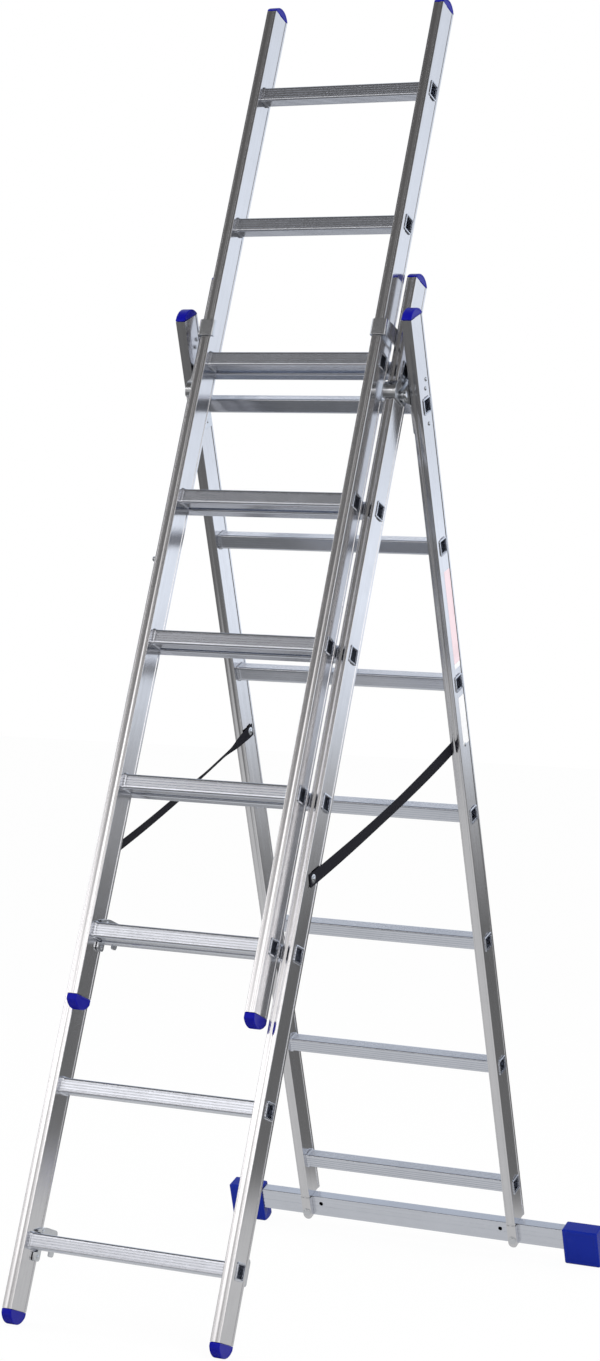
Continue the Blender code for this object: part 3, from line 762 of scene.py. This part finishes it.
def arch_points(chord, rise, steps):
    """Points of an arch over a chord, from +chord/2 to -chord/2, standing on height 0."""
    radius = ((chord / 2) ** 2 + rise ** 2) / (2 * rise)
    reach = math.asin(chord / 2 / radius)
    angles = [math.pi / 2 - reach + 2 * reach * i / steps for i in range(steps + 1)]
    return [(radius * math.cos(angle), rise - radius + radius * math.sin(angle)) for angle in angles]


def add_end_cap(bm, centre_x, end_z, up, skirt, rise, ribs):
    """An arched cap with rounded edges, a shadow groove above its skirt, and tread ribs if asked."""
    own = bmesh.new()
    half_x, chord = sizes().stile_width / 2, sizes().stile_depth
    base = 0.0004
    arch = [(y, z + skirt) for y, z in arch_points(chord, rise, 22)]
    outline = [(chord / 2, base), *arch, (-chord / 2, base)]
    face = own.faces.new([own.verts.new((-half_x, y, z)) for y, z in outline])
    pull(own, [face], (2 * half_x, 0, 0))
    soften(own, 0.0016, 60, 3)
    if ribs:
        soles = [item for item in own.faces if item.normal.z > 0.55 and abs(item.normal.x) < 0.1
                 and item.calc_area() > 1.5e-5]
        bmesh.ops.inset_individual(own, faces=soles, thickness=0.0005, depth=-0.0006)
    sides = [item for item in own.faces if abs(item.normal.x) > 0.99 and item.calc_area() > 1e-4]
    bmesh.ops.inset_individual(own, faces=sides, thickness=0.0016, depth=0)
    bmesh.ops.inset_individual(own, faces=sides, thickness=0.0005, depth=-0.0005)
    flip = Matrix.Diagonal((1, 1, up, 1))
    add_from(bm, own, Matrix.Translation((centre_x, 0, end_z)) @ flip)
    own = bmesh.new()
    inner = sizes().stile_wall + 0.0015
    bmesh.ops.create_cube(own, size=1.0)
    bmesh.ops.scale(own, vec=(2 * (half_x - inner), chord - 2 * inner, 0.013), verts=own.verts[:])
    soften(own, 0.001)
    add_from(bm, own, Matrix.Translation((centre_x, 0, end_z - up * 0.0062)))


class LADDER_OT_caps(bpy.types.Operator):
    """Build the blue caps on the ends of the stiles"""
    bl_idname = "ladder.caps"
    bl_label = "Caps and feet"

    def execute(self, context):
        finish = moulded_plastic("Blue plastic, caps and feet", finishes().plastic)
        # skirt and rise of each kind
        cap, plug, foot = (0.003, 0.0133), (0.011, 0.0133), (0.008, 0.0168)
        ends = [("middle", "top_cap", 1, cap), ("middle", "foot", -1, foot), ("upper", "top_cap", 1, cap),
                ("upper", "foot", -1, plug), ("rear", "top_cap", 1, cap)]
        for section, kind, up, (skirt, rise) in ends:
            below, above = STILE_ENDS[section]
            end_z = top_rung() + above if up > 0 else -below
            for word, side in SIDES:
                bm = bmesh.new()
                centre_x = side * (half_width(section) - sizes().stile_width / 2)
                add_end_cap(bm, centre_x, end_z, up, skirt, rise, kind == "foot")
                node = f"{section}_{kind}_{word}"
                make_piece(node + "_moulding", bm, finish, BODY[section], section_matrix(section),
                           (node,))
        return {"FINISHED"}


# ---- stabiliser bar ------------------------------------------------------------------------

def cut_by(piece, cutters, place):
    """Cuts closed solids, given as one bmesh in place's frame, out of a piece for good."""
    cutters.transform(place)
    mesh = bpy.data.meshes.new("cutter")
    bmesh.ops.recalc_face_normals(cutters, faces=cutters.faces)
    cutters.to_mesh(mesh)
    cutters.free()
    tool = bpy.data.objects.new("cutter", mesh)
    bpy.context.scene.collection.objects.link(tool)
    modifier = piece.modifiers.new("cut", "BOOLEAN")
    modifier.operation = "DIFFERENCE"
    modifier.object = tool
    apply_modifiers(piece)
    bpy.data.objects.remove(tool)
    bpy.data.meshes.remove(mesh)
    piece.data.set_sharp_from_angle(angle=math.radians(40))
    even_normals(piece)


def add_box(bm, middle, size):
    bmesh.ops.create_cube(bm, size=1.0, matrix=Matrix.Translation(middle) @ Matrix.Diagonal((*size, 1.0)))


def box_mesh(low, high):
    """A closed box between two corners, in either order along each axis."""
    own = bmesh.new()
    add_box(own, [(a + b) / 2 for a, b in zip(low, high)], [abs(b - a) for a, b in zip(low, high)])
    return own


class LADDER_OT_stabiliser(bpy.types.Operator):
    """Build the stabiliser bar, its boots and its bolts"""
    bl_idname = "ladder.stabiliser"
    bl_label = "Stabiliser"

    def execute(self, context):
        place = section_matrix("rear")
        low, high = box_in("rear", "traverse_bar")
        self.build_bar(place, low, high)
        for word, side in SIDES:
            self.build_boot(place, word, side)
            self.build_bolt(place, word, side)
        return {"FINISHED"}

    def build_bar(self, place, low, high):
        bm = bmesh.new()
        line, sink, corner = 0.0012, 0.0006, 0.0025
        points = [((low.x, low.y, low.z), corner)]
        for share in (0.28, 0.5, 0.72):
            z = low.z + (high.z - low.z) * share
            points += [((low.x, low.y, z - line), 0), ((low.x, low.y + sink, z - line * 0.4), 0),
                       ((low.x, low.y + sink, z + line * 0.4), 0), ((low.x, low.y, z + line), 0)]
        points += [((low.x, low.y, high.z), corner), ((low.x, high.y, high.z), corner),
                   ((low.x, high.y, low.z), corner)]
        hollow(bm, outline_face(bm, points), BAR_WALL)
        pull(bm, bm.faces[:], (high.x - low.x, 0, 0))
        finish = extruded_aluminium("Extruded aluminium, bar", across=True)
        bar = make_piece("stabiliser_bar_tube", bm, finish, BODY["rear"], place, ("traverse_bar",))
        cutters = bmesh.new()
        for _, side in SIDES:
            place_at = Matrix.Translation((side * BAR_HOLE, low.y, high.z - 0.016)) @ turn_to((0, 1, 0))
            bmesh.ops.create_cone(cutters, cap_ends=True, segments=24, radius1=0.0045, radius2=0.0045,
                                  depth=0.012, matrix=place_at)
        cut_by(bar, cutters, place)

    def build_boot(self, place, word, side):
        low, high = box_in("rear", f"traverse_boot_{word}")
        middle_y, chord, hump = (low.y + high.y) / 2, high.y - low.y, 0.0046
        sole = [(middle_y - y, low.z + hump + 0.0002 - z) for y, z in arch_points(chord, hump, 10)]
        outline = [(point, 0) for point in [*sole, (high.y, high.z), (low.y, high.z)]]
        bm = slab(at(outline, side * BOOT_START), (side * BOOT_LENGTH, 0, 0), 0.0035, 35, 3)
        fronts = [item for item in bm.faces if abs(item.normal.y) > 0.98 and item.calc_area() > 2e-3]
        bmesh.ops.inset_individual(bm, faces=fronts, thickness=0.006, depth=0)
        bmesh.ops.inset_individual(bm, faces=fronts, thickness=0.0012, depth=-0.0010)
        finish = moulded_plastic("Blue plastic, boots", finishes().boot_plastic)
        boot = make_piece(f"stabiliser_boot_{word}", bm, finish, BODY["rear"], place,
                          (f"traverse_boot_{word}",))
        bar_low, bar_high = box_in("rear", "traverse_bar")
        middle, size = (bar_high + bar_low) / 2, bar_high - bar_low
        cutters = bmesh.new()
        add_box(cutters, (side * (BOOT_START + 0.022), middle.y, middle.z),
                (0.06, size.y + 0.0012, size.z + 0.0012))
        for i in range(5):
            rib = (side * (BOOT_START + BOOT_LENGTH), middle_y, low.z + 0.012 + i * 0.004)
            add_box(cutters, rib, (0.0016, chord * 0.6, 0.0014))
        cut_by(boot, cutters, place)

    def build_bolt(self, place, word, side):
        low, high = box_in("rear", f"traverse_bolt_{word}")
        middle, length = (low + high) / 2, high.y - low.y
        onto_bar = turn_to((0, 1, 0))
        bm = bmesh.new()
        shank, washer = 0.0040, 0.0085
        add_turned(bm, [(0.0, length - 0.007), (shank, length - 0.007), (shank, 0.0044), (washer, 0.0044),
                        (washer, 0.0032), (0.0068, 0.0030), (0.0060, 0.0016), (0.0040, 0.0004), (0.0, 0.0)],
                   Matrix.Translation((middle.x, low.y, middle.z)) @ onto_bar)
        nut = bmesh.new()
        bmesh.ops.create_cone(nut, cap_ends=True, segments=6, radius1=0.0074, radius2=0.0074, depth=0.0056)
        soften(nut, 0.0006, 50)
        add_from(bm, nut, Matrix.Translation((middle.x, high.y - 0.0030, middle.z)) @ onto_bar)
        make_fitting(f"stabiliser_bolt_{word}", bm, "rear", f"traverse_bolt_{word}")


# ---- steel fittings ------------------------------------------------------------------------

class LADDER_OT_hooks(bpy.types.Operator):
    """Build the hooks on the lowest rungs of the upper and middle sections"""
    bl_idname = "ladder.hooks"
    bl_label = "Hooks"

    def execute(self, context):
        for section in ("upper", "middle"):
            for word, side in SIDES:
                self.build_hook(section, word, side)
        return {"FINISHED"}

    def build_hook(self, section, word, side):
        """A flat plate on the stile's inner face, slotted for the next section's rung."""
        low, high = box_in(section, f"{section}_hook_{word}")
        half = sizes().rung_size / 2
        collar = half + 0.0035
        front, back = low.y, high.y
        slot_back = back - HOOK_JAW
        slot_front = slot_back - 2 * half - 0.0012
        leaf_y, neck_y = front + 0.0035, front - 0.004 + collar
        top, leaf, tip = high.z, low.z, -0.019
        outline = [
            ((front, collar), 0.0012), ((front, collar + 0.004), 0.003), ((slot_front, top), 0.008),
            ((back, top), 0.007), ((back, tip), 0.006), ((slot_back + 0.0010, tip), 0.003),
            ((slot_back, half + 0.0003), 0.0025), ((slot_front, half + 0.0003), 0.0025),
            ((slot_front, leaf), 0.006), ((leaf_y, leaf), 0.005), ((leaf_y, -collar), 0.0012),
            ((neck_y, -collar), 0.003), ((neck_y, collar), 0.003)]
        near, far = (high.x, low.x) if side > 0 else (low.x, high.x)
        bm = slab(at(outline, near), (far - near, 0, 0), 0.0005)
        for y, z in ((slot_front - 0.0068, top - 0.0090), (slot_front - 0.0092, leaf + 0.0075)):
            dome(bm, (far, y, z), (-side, 0, 0), 0.0040, 0.0020)
        make_fitting(f"{section}_hook_{word}_plate", bm, section, f"{section}_hook_{word}")


class LADDER_OT_guides(bpy.types.Operator):
    """Build the guide brackets that wrap the upper section's stiles"""
    bl_idname = "ladder.guides"
    bl_label = "Guide brackets"

    def execute(self, context):
        for word, side in SIDES:
            low, high = box_in("middle", f"guide_bracket_{word}")
            plate, turned_in = sizes().plate, low.y + 0.011
            lip, wall = reach_across(low, high)
            outline = [((wall, high.y), 0), ((wall, low.y), 0.006), ((lip, low.y), 0.006),
                       ((lip, turned_in), 0.001), ((lip + plate, turned_in), 0.001),
                       ((lip + plate, low.y + plate), 0.0032), ((wall - plate, low.y + plate), 0.0032),
                       ((wall - plate, high.y), 0)]
            points = [((side * x, y, low.z), radius) for (x, y), radius in outline]
            bm = slab(points, (0, 0, high.z - low.z), 0.0007)
            for dz in (-0.008, 0.008):
                y, z = 0.002, (low.z + high.z) / 2 + dz
                dome(bm, (side * (half_width("middle") + 0.0001), y, z), (side, 0, 0), 0.0042, 0.0020)
                dome(bm, (side * (wall - plate), y, z), (-side, 0, 0), 0.0042, 0.0009)
            make_fitting(f"guide_bracket_{word}_strap", bm, "middle", f"guide_bracket_{word}")
        return {"FINISHED"}


class LADDER_OT_hinges(bpy.types.Operator):
    """Build the pivot brackets, the rear hinge plates and the pivot pins"""
    bl_idname = "ladder.hinges"
    bl_label = "Hinges"

    def execute(self, context):
        pivot = joint_place("rear_leg_fold")
        for word, side in SIDES:
            self.build_bracket(word, side, pivot)
            self.build_plate(word, side, pivot)
            self.build_pin(word, side, pivot)
        return {"FINISHED"}

    def build_bracket(self, word, side, pivot):
        """A saddle bent round the front of the middle stile, with a rolled front edge."""
        place = section_matrix("middle")
        low, high = box_in("middle", f"hinge_bracket_{word}")
        inner, outer = reach_across(low, high)
        front = -sizes().stile_depth / 2 - 0.0004
        tall, bulge = 0.032, 0.0062
        rolled = [(low.y + bulge - z, low.z + tall / 2 + y) for y, z in arch_points(tall, bulge, 12)]
        outline = [(0.009 + front, high.z), (0.038 + front, high.z), (high.y, high.z - 0.0045),
                   (high.y, low.z + 0.012), (0.038 + front, low.z), *sorted(rolled, key=lambda point: point[1])]
        bm = slab(at([(point, 0) for point in outline], side * inner), (side * (outer - inner), 0, 0),
                  0.0008, 60, 3)
        bracket = make_fitting(f"hinge_bracket_{word}_saddle", bm, "middle", f"hinge_bracket_{word}")
        play, past = 0.0003, front + 0.12
        stile_in = half_width("middle") - sizes().stile_width - play
        channel = box_mesh((side * stile_in, front, low.z - 0.02),
                           (side * (half_width("middle") + play), past, high.z + 0.02))
        inner_ear = box_mesh((side * (stile_in - 0.02), front - 0.03, low.z + tall),
                             (side * (stile_in + 0.005), past, high.z + 0.02))
        for cutter in (channel, inner_ear):
            cut_by(bracket, cutter, place)

    def build_plate(self, word, side, pivot):
        """The plate on the rear stile: an eye round the pivot and an arm notched round the rung."""
        centre = section_matrix("rear").inverted() @ pivot
        low, high = box_in("rear", f"rear_hinge_plate_{word}")
        near = side * reach_across(low, high)[0]
        rung_z = top_rung()
        eye, notch = 0.013, sizes().rung_size / 2 + 0.005
        front, collar = -sizes().stile_depth / 2, -sizes().rung_size / 2 - 0.003
        angles = [math.radians(75 + 180 * i / 16) for i in range(17)]
        outline = [((centre.y + eye * math.cos(angle), centre.z + eye * math.sin(angle)), 0) for angle in angles]
        outline += [((front + 0.002, rung_z + 0.008), 0.004), ((front + 0.004, rung_z - 0.050), 0.003),
                    ((high.y, rung_z - 0.050), 0.004), ((high.y, rung_z - notch), 0.002),
                    ((collar, rung_z - notch), 0.003), ((collar, rung_z + notch), 0.003),
                    ((high.y, rung_z + notch), 0.002), ((high.y, high.z), 0.006)]
        bm = slab(at(outline, near), (side * 0.0029, 0, 0), 0.0005)
        outer = half_width("rear") - 0.0009
        for y, z in ((0.004, rung_z + 0.032), (0.010, rung_z + 0.048), (0.002, rung_z - 0.036)):
            dome(bm, (side * outer, y, z), (side, 0, 0), 0.0042, 0.0020)
            dome(bm, (near, y, z), (-side, 0, 0), 0.0042, 0.0012)
        make_fitting(f"rear_hinge_plate_{word}_arm", bm, "rear", f"rear_hinge_plate_{word}")

    def build_pin(self, word, side, pivot):
        start, end = reach_across(*node_box(f"hinge_pin_{word}"))
        head, gap = end - 0.0042, half_width("middle") + sizes().plate + 0.0006
        outward = turn_to((side, 0, 0))
        bm = bmesh.new()
        add_turned(bm, [(0.0, start), (0.0052, start), (0.0060, start + 0.0006), (0.0060, head), (0.0098, head),
                        (0.0100, head + 0.0006), (0.0098, head + 0.0018), (0.0084, head + 0.0030),
                        (0.0060, head + 0.0037), (0.0030, head + 0.0040), (0.0, head + 0.0041)], outward, 32)
        bore, rim, far = 0.0061, 0.0095, gap + 0.0026
        add_turned(bm, [(bore, gap), (rim, gap), (rim, far), (bore, far), (bore, gap)], outward)
        make_fitting(f"hinge_pin_{word}_turned", bm, "middle", f"hinge_pin_{word}", Matrix.Translation(pivot))


class LADDER_OT_peg(bpy.types.Operator):
    """Build the small peg on the left middle stile"""
    bl_idname = "ladder.peg"
    bl_label = "Stop peg"

    def execute(self, context):
        low, high = node_box("stop_peg")
        length = high.x - low.x
        bm = bmesh.new()
        add_turned(bm, [(0.0, 0.0), (0.0058, 0.0), (0.0058, 0.0014), (0.0040, 0.0018),
                        (0.0040, length - 0.0022), (0.0050, length - 0.0016), (0.0046, length - 0.0003),
                        (0.0, length)], turn_to((-1, 0, 0)))
        place = Matrix.Translation((high.x, (low.y + high.y) / 2, (low.z + high.z) / 2))
        make_fitting("stop_peg_turned", bm, "middle", "stop_peg", place)
        return {"FINISHED"}


# ---- straps --------------------------------------------------------------------------------

STRAP_ENDS = {"middle": -0.980, "rear": -0.690}  # from the highest rung
STRAP_TAIL = 0.012  # webbing beyond each rivet
# how far the webbing is turned about its length, in degrees, from the front end to the rear end
STRAP_TURNS = {"left": [(0.03, 0), (0.14, 22), (0.50, 24), (0.68, 42), (0.82, 42), (0.94, 8), (0.97, 0)],
               "right": [(0.08, 0), (0.50, 8), (0.92, 0)]}


def eased(stops, t):
    """The value at t, passing smoothly from stop to stop."""
    value = stops[0][1]
    for (low, first), (high, last) in zip(stops, stops[1:]):
        if t > low:
            part = min(1.0, (t - low) / (high - low))
            value = first + (last - first) * part * part * (3 - 2 * part)
    return value


def strap_end(section):
    return section_matrix(section) @ Vector((0, 0, top_rung() + STRAP_ENDS[section]))


def strap_line(side, start_x, end_x, steps=60):
    """Points along the middle of a strap, from tail to tail, sagging a little between."""
    start, end = strap_end("middle"), strap_end("rear")
    tail = (end - start).normalized() * STRAP_TAIL
    sag = 0.010
    centres = []
    for i in range(steps + 1):
        t = i / steps
        centre = (start - tail).lerp(end + tail, t) - Vector((0, 0, 4 * sag * t * (1 - t)))
        centre.x = side * (eased([(0.0, start_x), (1.0, end_x)], t) + sizes().strap_thickness / 2)
        centres.append(centre)
    return centres


class LADDER_OT_straps(bpy.types.Operator):
    """Build the webbing straps that stop the legs from spreading"""
    bl_idname = "ladder.straps"
    bl_label = "Spreader straps"

    def execute(self, context):
        for word, side in SIDES:
            self.build_strap(word, side)
        return {"FINISHED"}

    def build_strap(self, word, side):
        thickness = sizes().strap_thickness
        start_x = half_width("middle") + 0.0004
        end_x = half_width("rear") - sizes().stile_width - 0.0004 - thickness
        centres = strap_line(side, start_x, end_x)
        runs = [0.0]
        for a, b in zip(centres, centres[1:]):
            runs.append(runs[-1] + (b - a).length)
        half, thick = sizes().strap_width / 2, thickness / 2
        outline = [(half * a, thick * b) for a, b in ((-1, -0.5), (-0.97, -1), (-0.5, -1), (0, -1), (0.5, -1),
                                                      (0.97, -1), (1, -0.5))]
        outline += [(-a, -b) for a, b in outline]
        bm = bmesh.new()
        weave = bm.loops.layers.uv.new("weave")
        last = len(centres) - 1
        rings = []
        for i, centre in enumerate(centres):
            heading = (centres[min(i + 1, last)] - centres[max(i - 1, 0)]).normalized()
            turn = Matrix.Rotation(math.radians(eased(STRAP_TURNS[word], i / last)), 3, heading)
            out = turn @ Vector((side, 0, 0))
            wide = heading.cross(out)
            rings.append([bm.verts.new(centre + wide * a + out * b) for a, b in outline])
        for i in range(last):
            for j in range(len(outline)):
                k = (j + 1) % len(outline)
                face = bm.faces.new((rings[i][j], rings[i][k], rings[i + 1][k], rings[i + 1][j]))
                corners = ((j, i), (k, i), (k, i + 1), (j, i + 1))
                for loop, (across, along) in zip(face.loops, corners):
                    loop[weave].uv = (outline[across][0], runs[along])
        for ring in (rings[0], rings[-1]):
            bm.faces.new(ring)
        strap = make_piece(f"spread_strap_{word}_webbing", bm, woven_webbing(), None,
                           replaces=(f"spread_strap_{word}",), smooth=60, crisp=False)
        start, end = strap_end("middle"), strap_end("rear")
        along = (end - start).normalized()
        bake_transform(strap)
        self.build_rivet(word, side, "middle", start, side * (start_x + thickness), side)
        self.build_rivet(word, side, "rear", end, side * end_x, -side)

    def build_rivet(self, word, side, section, place, x, facing):
        """A rivet on a cupped washer through the end of a strap."""
        bm = bmesh.new()
        add_turned(bm, [(0.0, -0.0003), (0.0085, -0.0003), (0.0085, 0.0006), (0.0075, 0.0010), (0.0046, 0.0010),
                        (0.0044, 0.0018), (0.0030, 0.0026), (0.0, 0.0029)],
                   Matrix.Translation((x, place.y, place.z)) @ turn_to((facing, 0, 0)))
        if section == "rear":
            outer = side * (half_width("rear") - sizes().stile_step)
            dome(bm, (outer, place.y, place.z), (side, 0, 0), 0.0042, 0.0018)
        make_piece(f"strap_rivet_{section}_{word}", bm, plated_steel(), BODY[section])


# ---- labels --------------------------------------------------------------------------------

class LADDER_OT_labels(bpy.types.Operator):
    """Stick the blank labels on the rear right stile"""
    bl_idname = "ladder.labels"
    bl_label = "Blank labels"

    def execute(self, context):
        # name, colour, and the ends below the highest rung
        bands = [("label_upper_band", finishes().label_band, -0.330, -0.520),
                 ("label_upper_blank", finishes().label, -0.5203, -0.530),
                 ("label_lower_blank", finishes().label, -0.590, -0.690)]
        x = half_width("rear") - sizes().stile_step - 0.0001
        low_y, high_y = -0.007, 0.019
        for name, colour, above, below in bands:
            bm = bmesh.new()
            low, high = top_rung() + below, top_rung() + above
            corners = ((low_y, low), (high_y, low), (high_y, high), (low_y, high))
            face = outline_face(bm, at([(corner, 0.002) for corner in corners], x))
            pull(bm, [face], (0.0003, 0, 0))
            make_piece(name, bm, label_film(name.replace("_", " "), colour), BODY["rear"],
                       section_matrix("rear"))
        return {"FINISHED"}


# ---- stage ---------------------------------------------------------------------------------

class LADDER_OT_stage(bpy.types.Operator):
    """Set the floor, the light and the camera"""
    bl_idname = "ladder.stage"
    bl_label = "Studio"

    def execute(self, context):
        self.build_floor()
        self.build_world(context.scene)
        self.build_lights(context.scene)
        self.build_camera(context.scene)
        return {"FINISHED"}

    def build_floor(self):
        bm = bmesh.new()
        bmesh.ops.create_circle(bm, cap_ends=True, radius=60.0, segments=64)
        mesh = bpy.data.meshes.new("studio_floor")
        bm.to_mesh(mesh)
        bm.free()
        material = bpy.data.materials.new("Studio floor")
        material.use_nodes = True
        tree = material.node_tree
        shader = tree.nodes["Principled BSDF"]
        shader.inputs["Base Color"].default_value = (*finishes().floor, 1.0)
        shader.inputs["Roughness"].default_value = 0.9
        shader.inputs["Specular IOR Level"].default_value = 0.1
        path = tree.nodes.new("ShaderNodeLightPath")
        glow = add_node(tree, "ShaderNodeEmission", Strength=1.0)
        coordinates = tree.nodes.new("ShaderNodeTexCoord")
        reach = add_node(tree, "ShaderNodeVectorMath", {"operation": "LENGTH"})
        tree.links.new(coordinates.outputs["Object"], reach.inputs[0])
        # Painted reflection: seen in the metal, the floor glows in rings, bright near the ladder, dark further
        # out and paler far off, and grey in a patch behind the ladder on its left
        rings = ramp_node(tree, maths(tree, "MULTIPLY", reach.outputs["Value"], 1 / 30),
                          [(0.0, 0.62), (0.036, 0.58), (0.052, 0.16), (0.30, 0.12), (1.0, 0.45)])
        beside = add_node(tree, "ShaderNodeVectorMath", {"operation": "DISTANCE"})
        tree.links.new(coordinates.outputs["Object"], beside.inputs[0])
        beside.inputs[1].default_value = (-1.5, 2.3, 0.0)
        near = map_range(tree, beside.outputs["Value"], 0.6, 1.5, 1.0, 0.0)
        painted_reflection_glow = add_node(tree, "ShaderNodeEmission", Strength=1.0)
        tree.links.new(mix_colours(tree, near, rings, (0.62, 0.63, 0.66)), painted_reflection_glow.inputs["Color"])
        glowing = maths(tree, "MULTIPLY", path.outputs["Is Camera Ray"], 0.94)
        seen = mix_shaders(tree, glowing, shader.outputs["BSDF"], glow.outputs["Emission"])
        # glossy rays see the painted reflection glow in place of the floor
        surface = mix_shaders(tree, path.outputs["Is Glossy Ray"], seen, painted_reflection_glow.outputs["Emission"])
        tree.links.new(surface, tree.nodes["Material Output"].inputs["Surface"])
        mesh.materials.append(material)
        floor = bpy.data.objects.new("studio_floor", mesh)
        bpy.context.scene.collection.objects.link(floor)

    def build_world(self, scene):
        """A white backdrop; in reflections, a bright strip in front and a cool wall behind."""
        world = bpy.data.worlds.new("Studio surround")
        world.use_nodes = True
        scene.world = world
        tree = world.node_tree
        soft = tree.nodes["Background"]
        soft.inputs["Color"].default_value = (1.0, 1.0, 1.0, 1.0)
        soft.inputs["Strength"].default_value = 0.9
        coordinates = tree.nodes.new("ShaderNodeTexCoord")
        split = tree.nodes.new("ShaderNodeSeparateXYZ")
        tree.links.new(coordinates.outputs["Object"], split.inputs["Vector"])
        front = ramp_node(tree, split.outputs["Z"], [
            (0.0, 0.22), (0.20, 0.22), (0.30, 0.30), (0.33, 0.50), (0.35, 0.85), (0.37, 1.0), (0.405, 0.92),
            (0.43, 0.45), (0.455, 0.17), (0.52, 0.08), (0.72, 0.04), (1.0, 0.06)], (1.0, 0.975, 0.96))
        back = ramp_node(tree, split.outputs["Z"], [
            (0.0, 0.42), (0.04, 0.56), (0.09, 0.42), (0.14, 0.48), (0.24, 0.40), (0.45, 0.32), (0.70, 0.32),
            (1.0, 0.18)], (0.90, 0.96, 1.06))
        turn = map_range(tree, split.outputs["Y"], -0.15, 0.25, 0.0, 1.0)
        surround = add_node(tree, "ShaderNodeBackground", Strength=2.1)
        tree.links.new(mix_colours(tree, turn, front, back), surround.inputs["Color"])
        backdrop = add_node(tree, "ShaderNodeBackground", Strength=1.0)
        backdrop.inputs["Color"].default_value = (1.0, 1.0, 1.0, 1.0)
        path = tree.nodes.new("ShaderNodeLightPath")
        lit = mix_shaders(tree, path.outputs["Is Glossy Ray"], soft.outputs["Background"],
                          surround.outputs["Background"])
        seen = mix_shaders(tree, path.outputs["Is Camera Ray"], lit, backdrop.outputs["Background"])
        tree.links.new(seen, tree.nodes["World Output"].inputs["Surface"])
        scene.view_settings.view_transform = "Standard"

    def build_lights(self, scene):
        softboxes = [("key_softbox", (3.2, -3.2, 3.4), (2.2, 2.2), 90.0),
                     ("side_softbox", (-4.0, -1.0, 2.2), (1.6, 2.6), 45.0)]
        aim = Vector((0.0, 0.0, 1.2))
        for name, place, size, power in softboxes:
            light = bpy.data.lights.new(name, "AREA")
            light.shape = "RECTANGLE"
            light.size, light.size_y = size
            light.energy = power
            lamp = bpy.data.objects.new(name, light)
            lamp.visible_glossy = False
            lamp.location = place
            lamp.rotation_euler = (aim - Vector(place)).to_track_quat("-Z", "Y").to_euler()
            scene.collection.objects.link(lamp)

    def build_camera(self, scene):
        """A long lens from the front right at chest height, rolled a little."""
        azimuth, elevation, roll = math.radians(26.065), math.radians(0.374), math.radians(3.22)
        camera = bpy.data.cameras.new("Camera")
        camera.sensor_width = 36.0
        camera.lens = 79.88
        camera.clip_end = 200.0
        holder = bpy.data.objects.new("Camera", camera)
        holder.location = (2.5414, -5.2505, 1.1310)
        aim = Vector((-math.sin(azimuth) * math.cos(elevation), math.cos(azimuth) * math.cos(elevation),
                      math.sin(elevation)))
        level = aim.to_track_quat("-Z", "Y").to_matrix()
        holder.rotation_euler = (level @ Matrix.Rotation(roll, 3, "Z")).to_euler()
        scene.collection.objects.link(holder)
        scene.camera = holder


# ---- panel, registering and running --------------------------------------------------------

OPERATORS = (LADDER_OT_stage, LADDER_OT_stiles, LADDER_OT_rungs, LADDER_OT_caps, LADDER_OT_stabiliser,
             LADDER_OT_hooks, LADDER_OT_guides, LADDER_OT_hinges, LADDER_OT_peg, LADDER_OT_straps,
             LADDER_OT_labels)


class LADDER_PT_panel(bpy.types.Panel):
    """Lists the ladder's sizes, finishes and builders"""
    bl_idname = "LADDER_PT_panel"
    bl_label = "Combination ladder"
    bl_space_type = "VIEW_3D"
    bl_region_type = "UI"
    bl_category = "Ladder"

    def draw(self, context):
        column = self.layout.column()
        for group in (context.scene.ladder_sizes, context.scene.ladder_finishes):
            for key in group.__annotations__:
                column.prop(group, key)
        for operator in OPERATORS:
            column.operator(operator.bl_idname)


CLASSES = (LadderSizes, LadderFinishes, *OPERATORS, LADDER_PT_panel)


def register():
    for item in CLASSES:
        bpy.utils.register_class(item)
    bpy.types.Scene.ladder_sizes = PointerProperty(type=LadderSizes)
    bpy.types.Scene.ladder_finishes = PointerProperty(type=LadderFinishes)


def unregister():
    del bpy.types.Scene.ladder_finishes
    del bpy.types.Scene.ladder_sizes
    for item in reversed(CLASSES):
        bpy.utils.unregister_class(item)


def main():
    register()
    for operator in OPERATORS:
        family, name = operator.bl_idname.split(".")
        getattr(getattr(bpy.ops, family), name)()


if __name__ == "__main__":
    main()
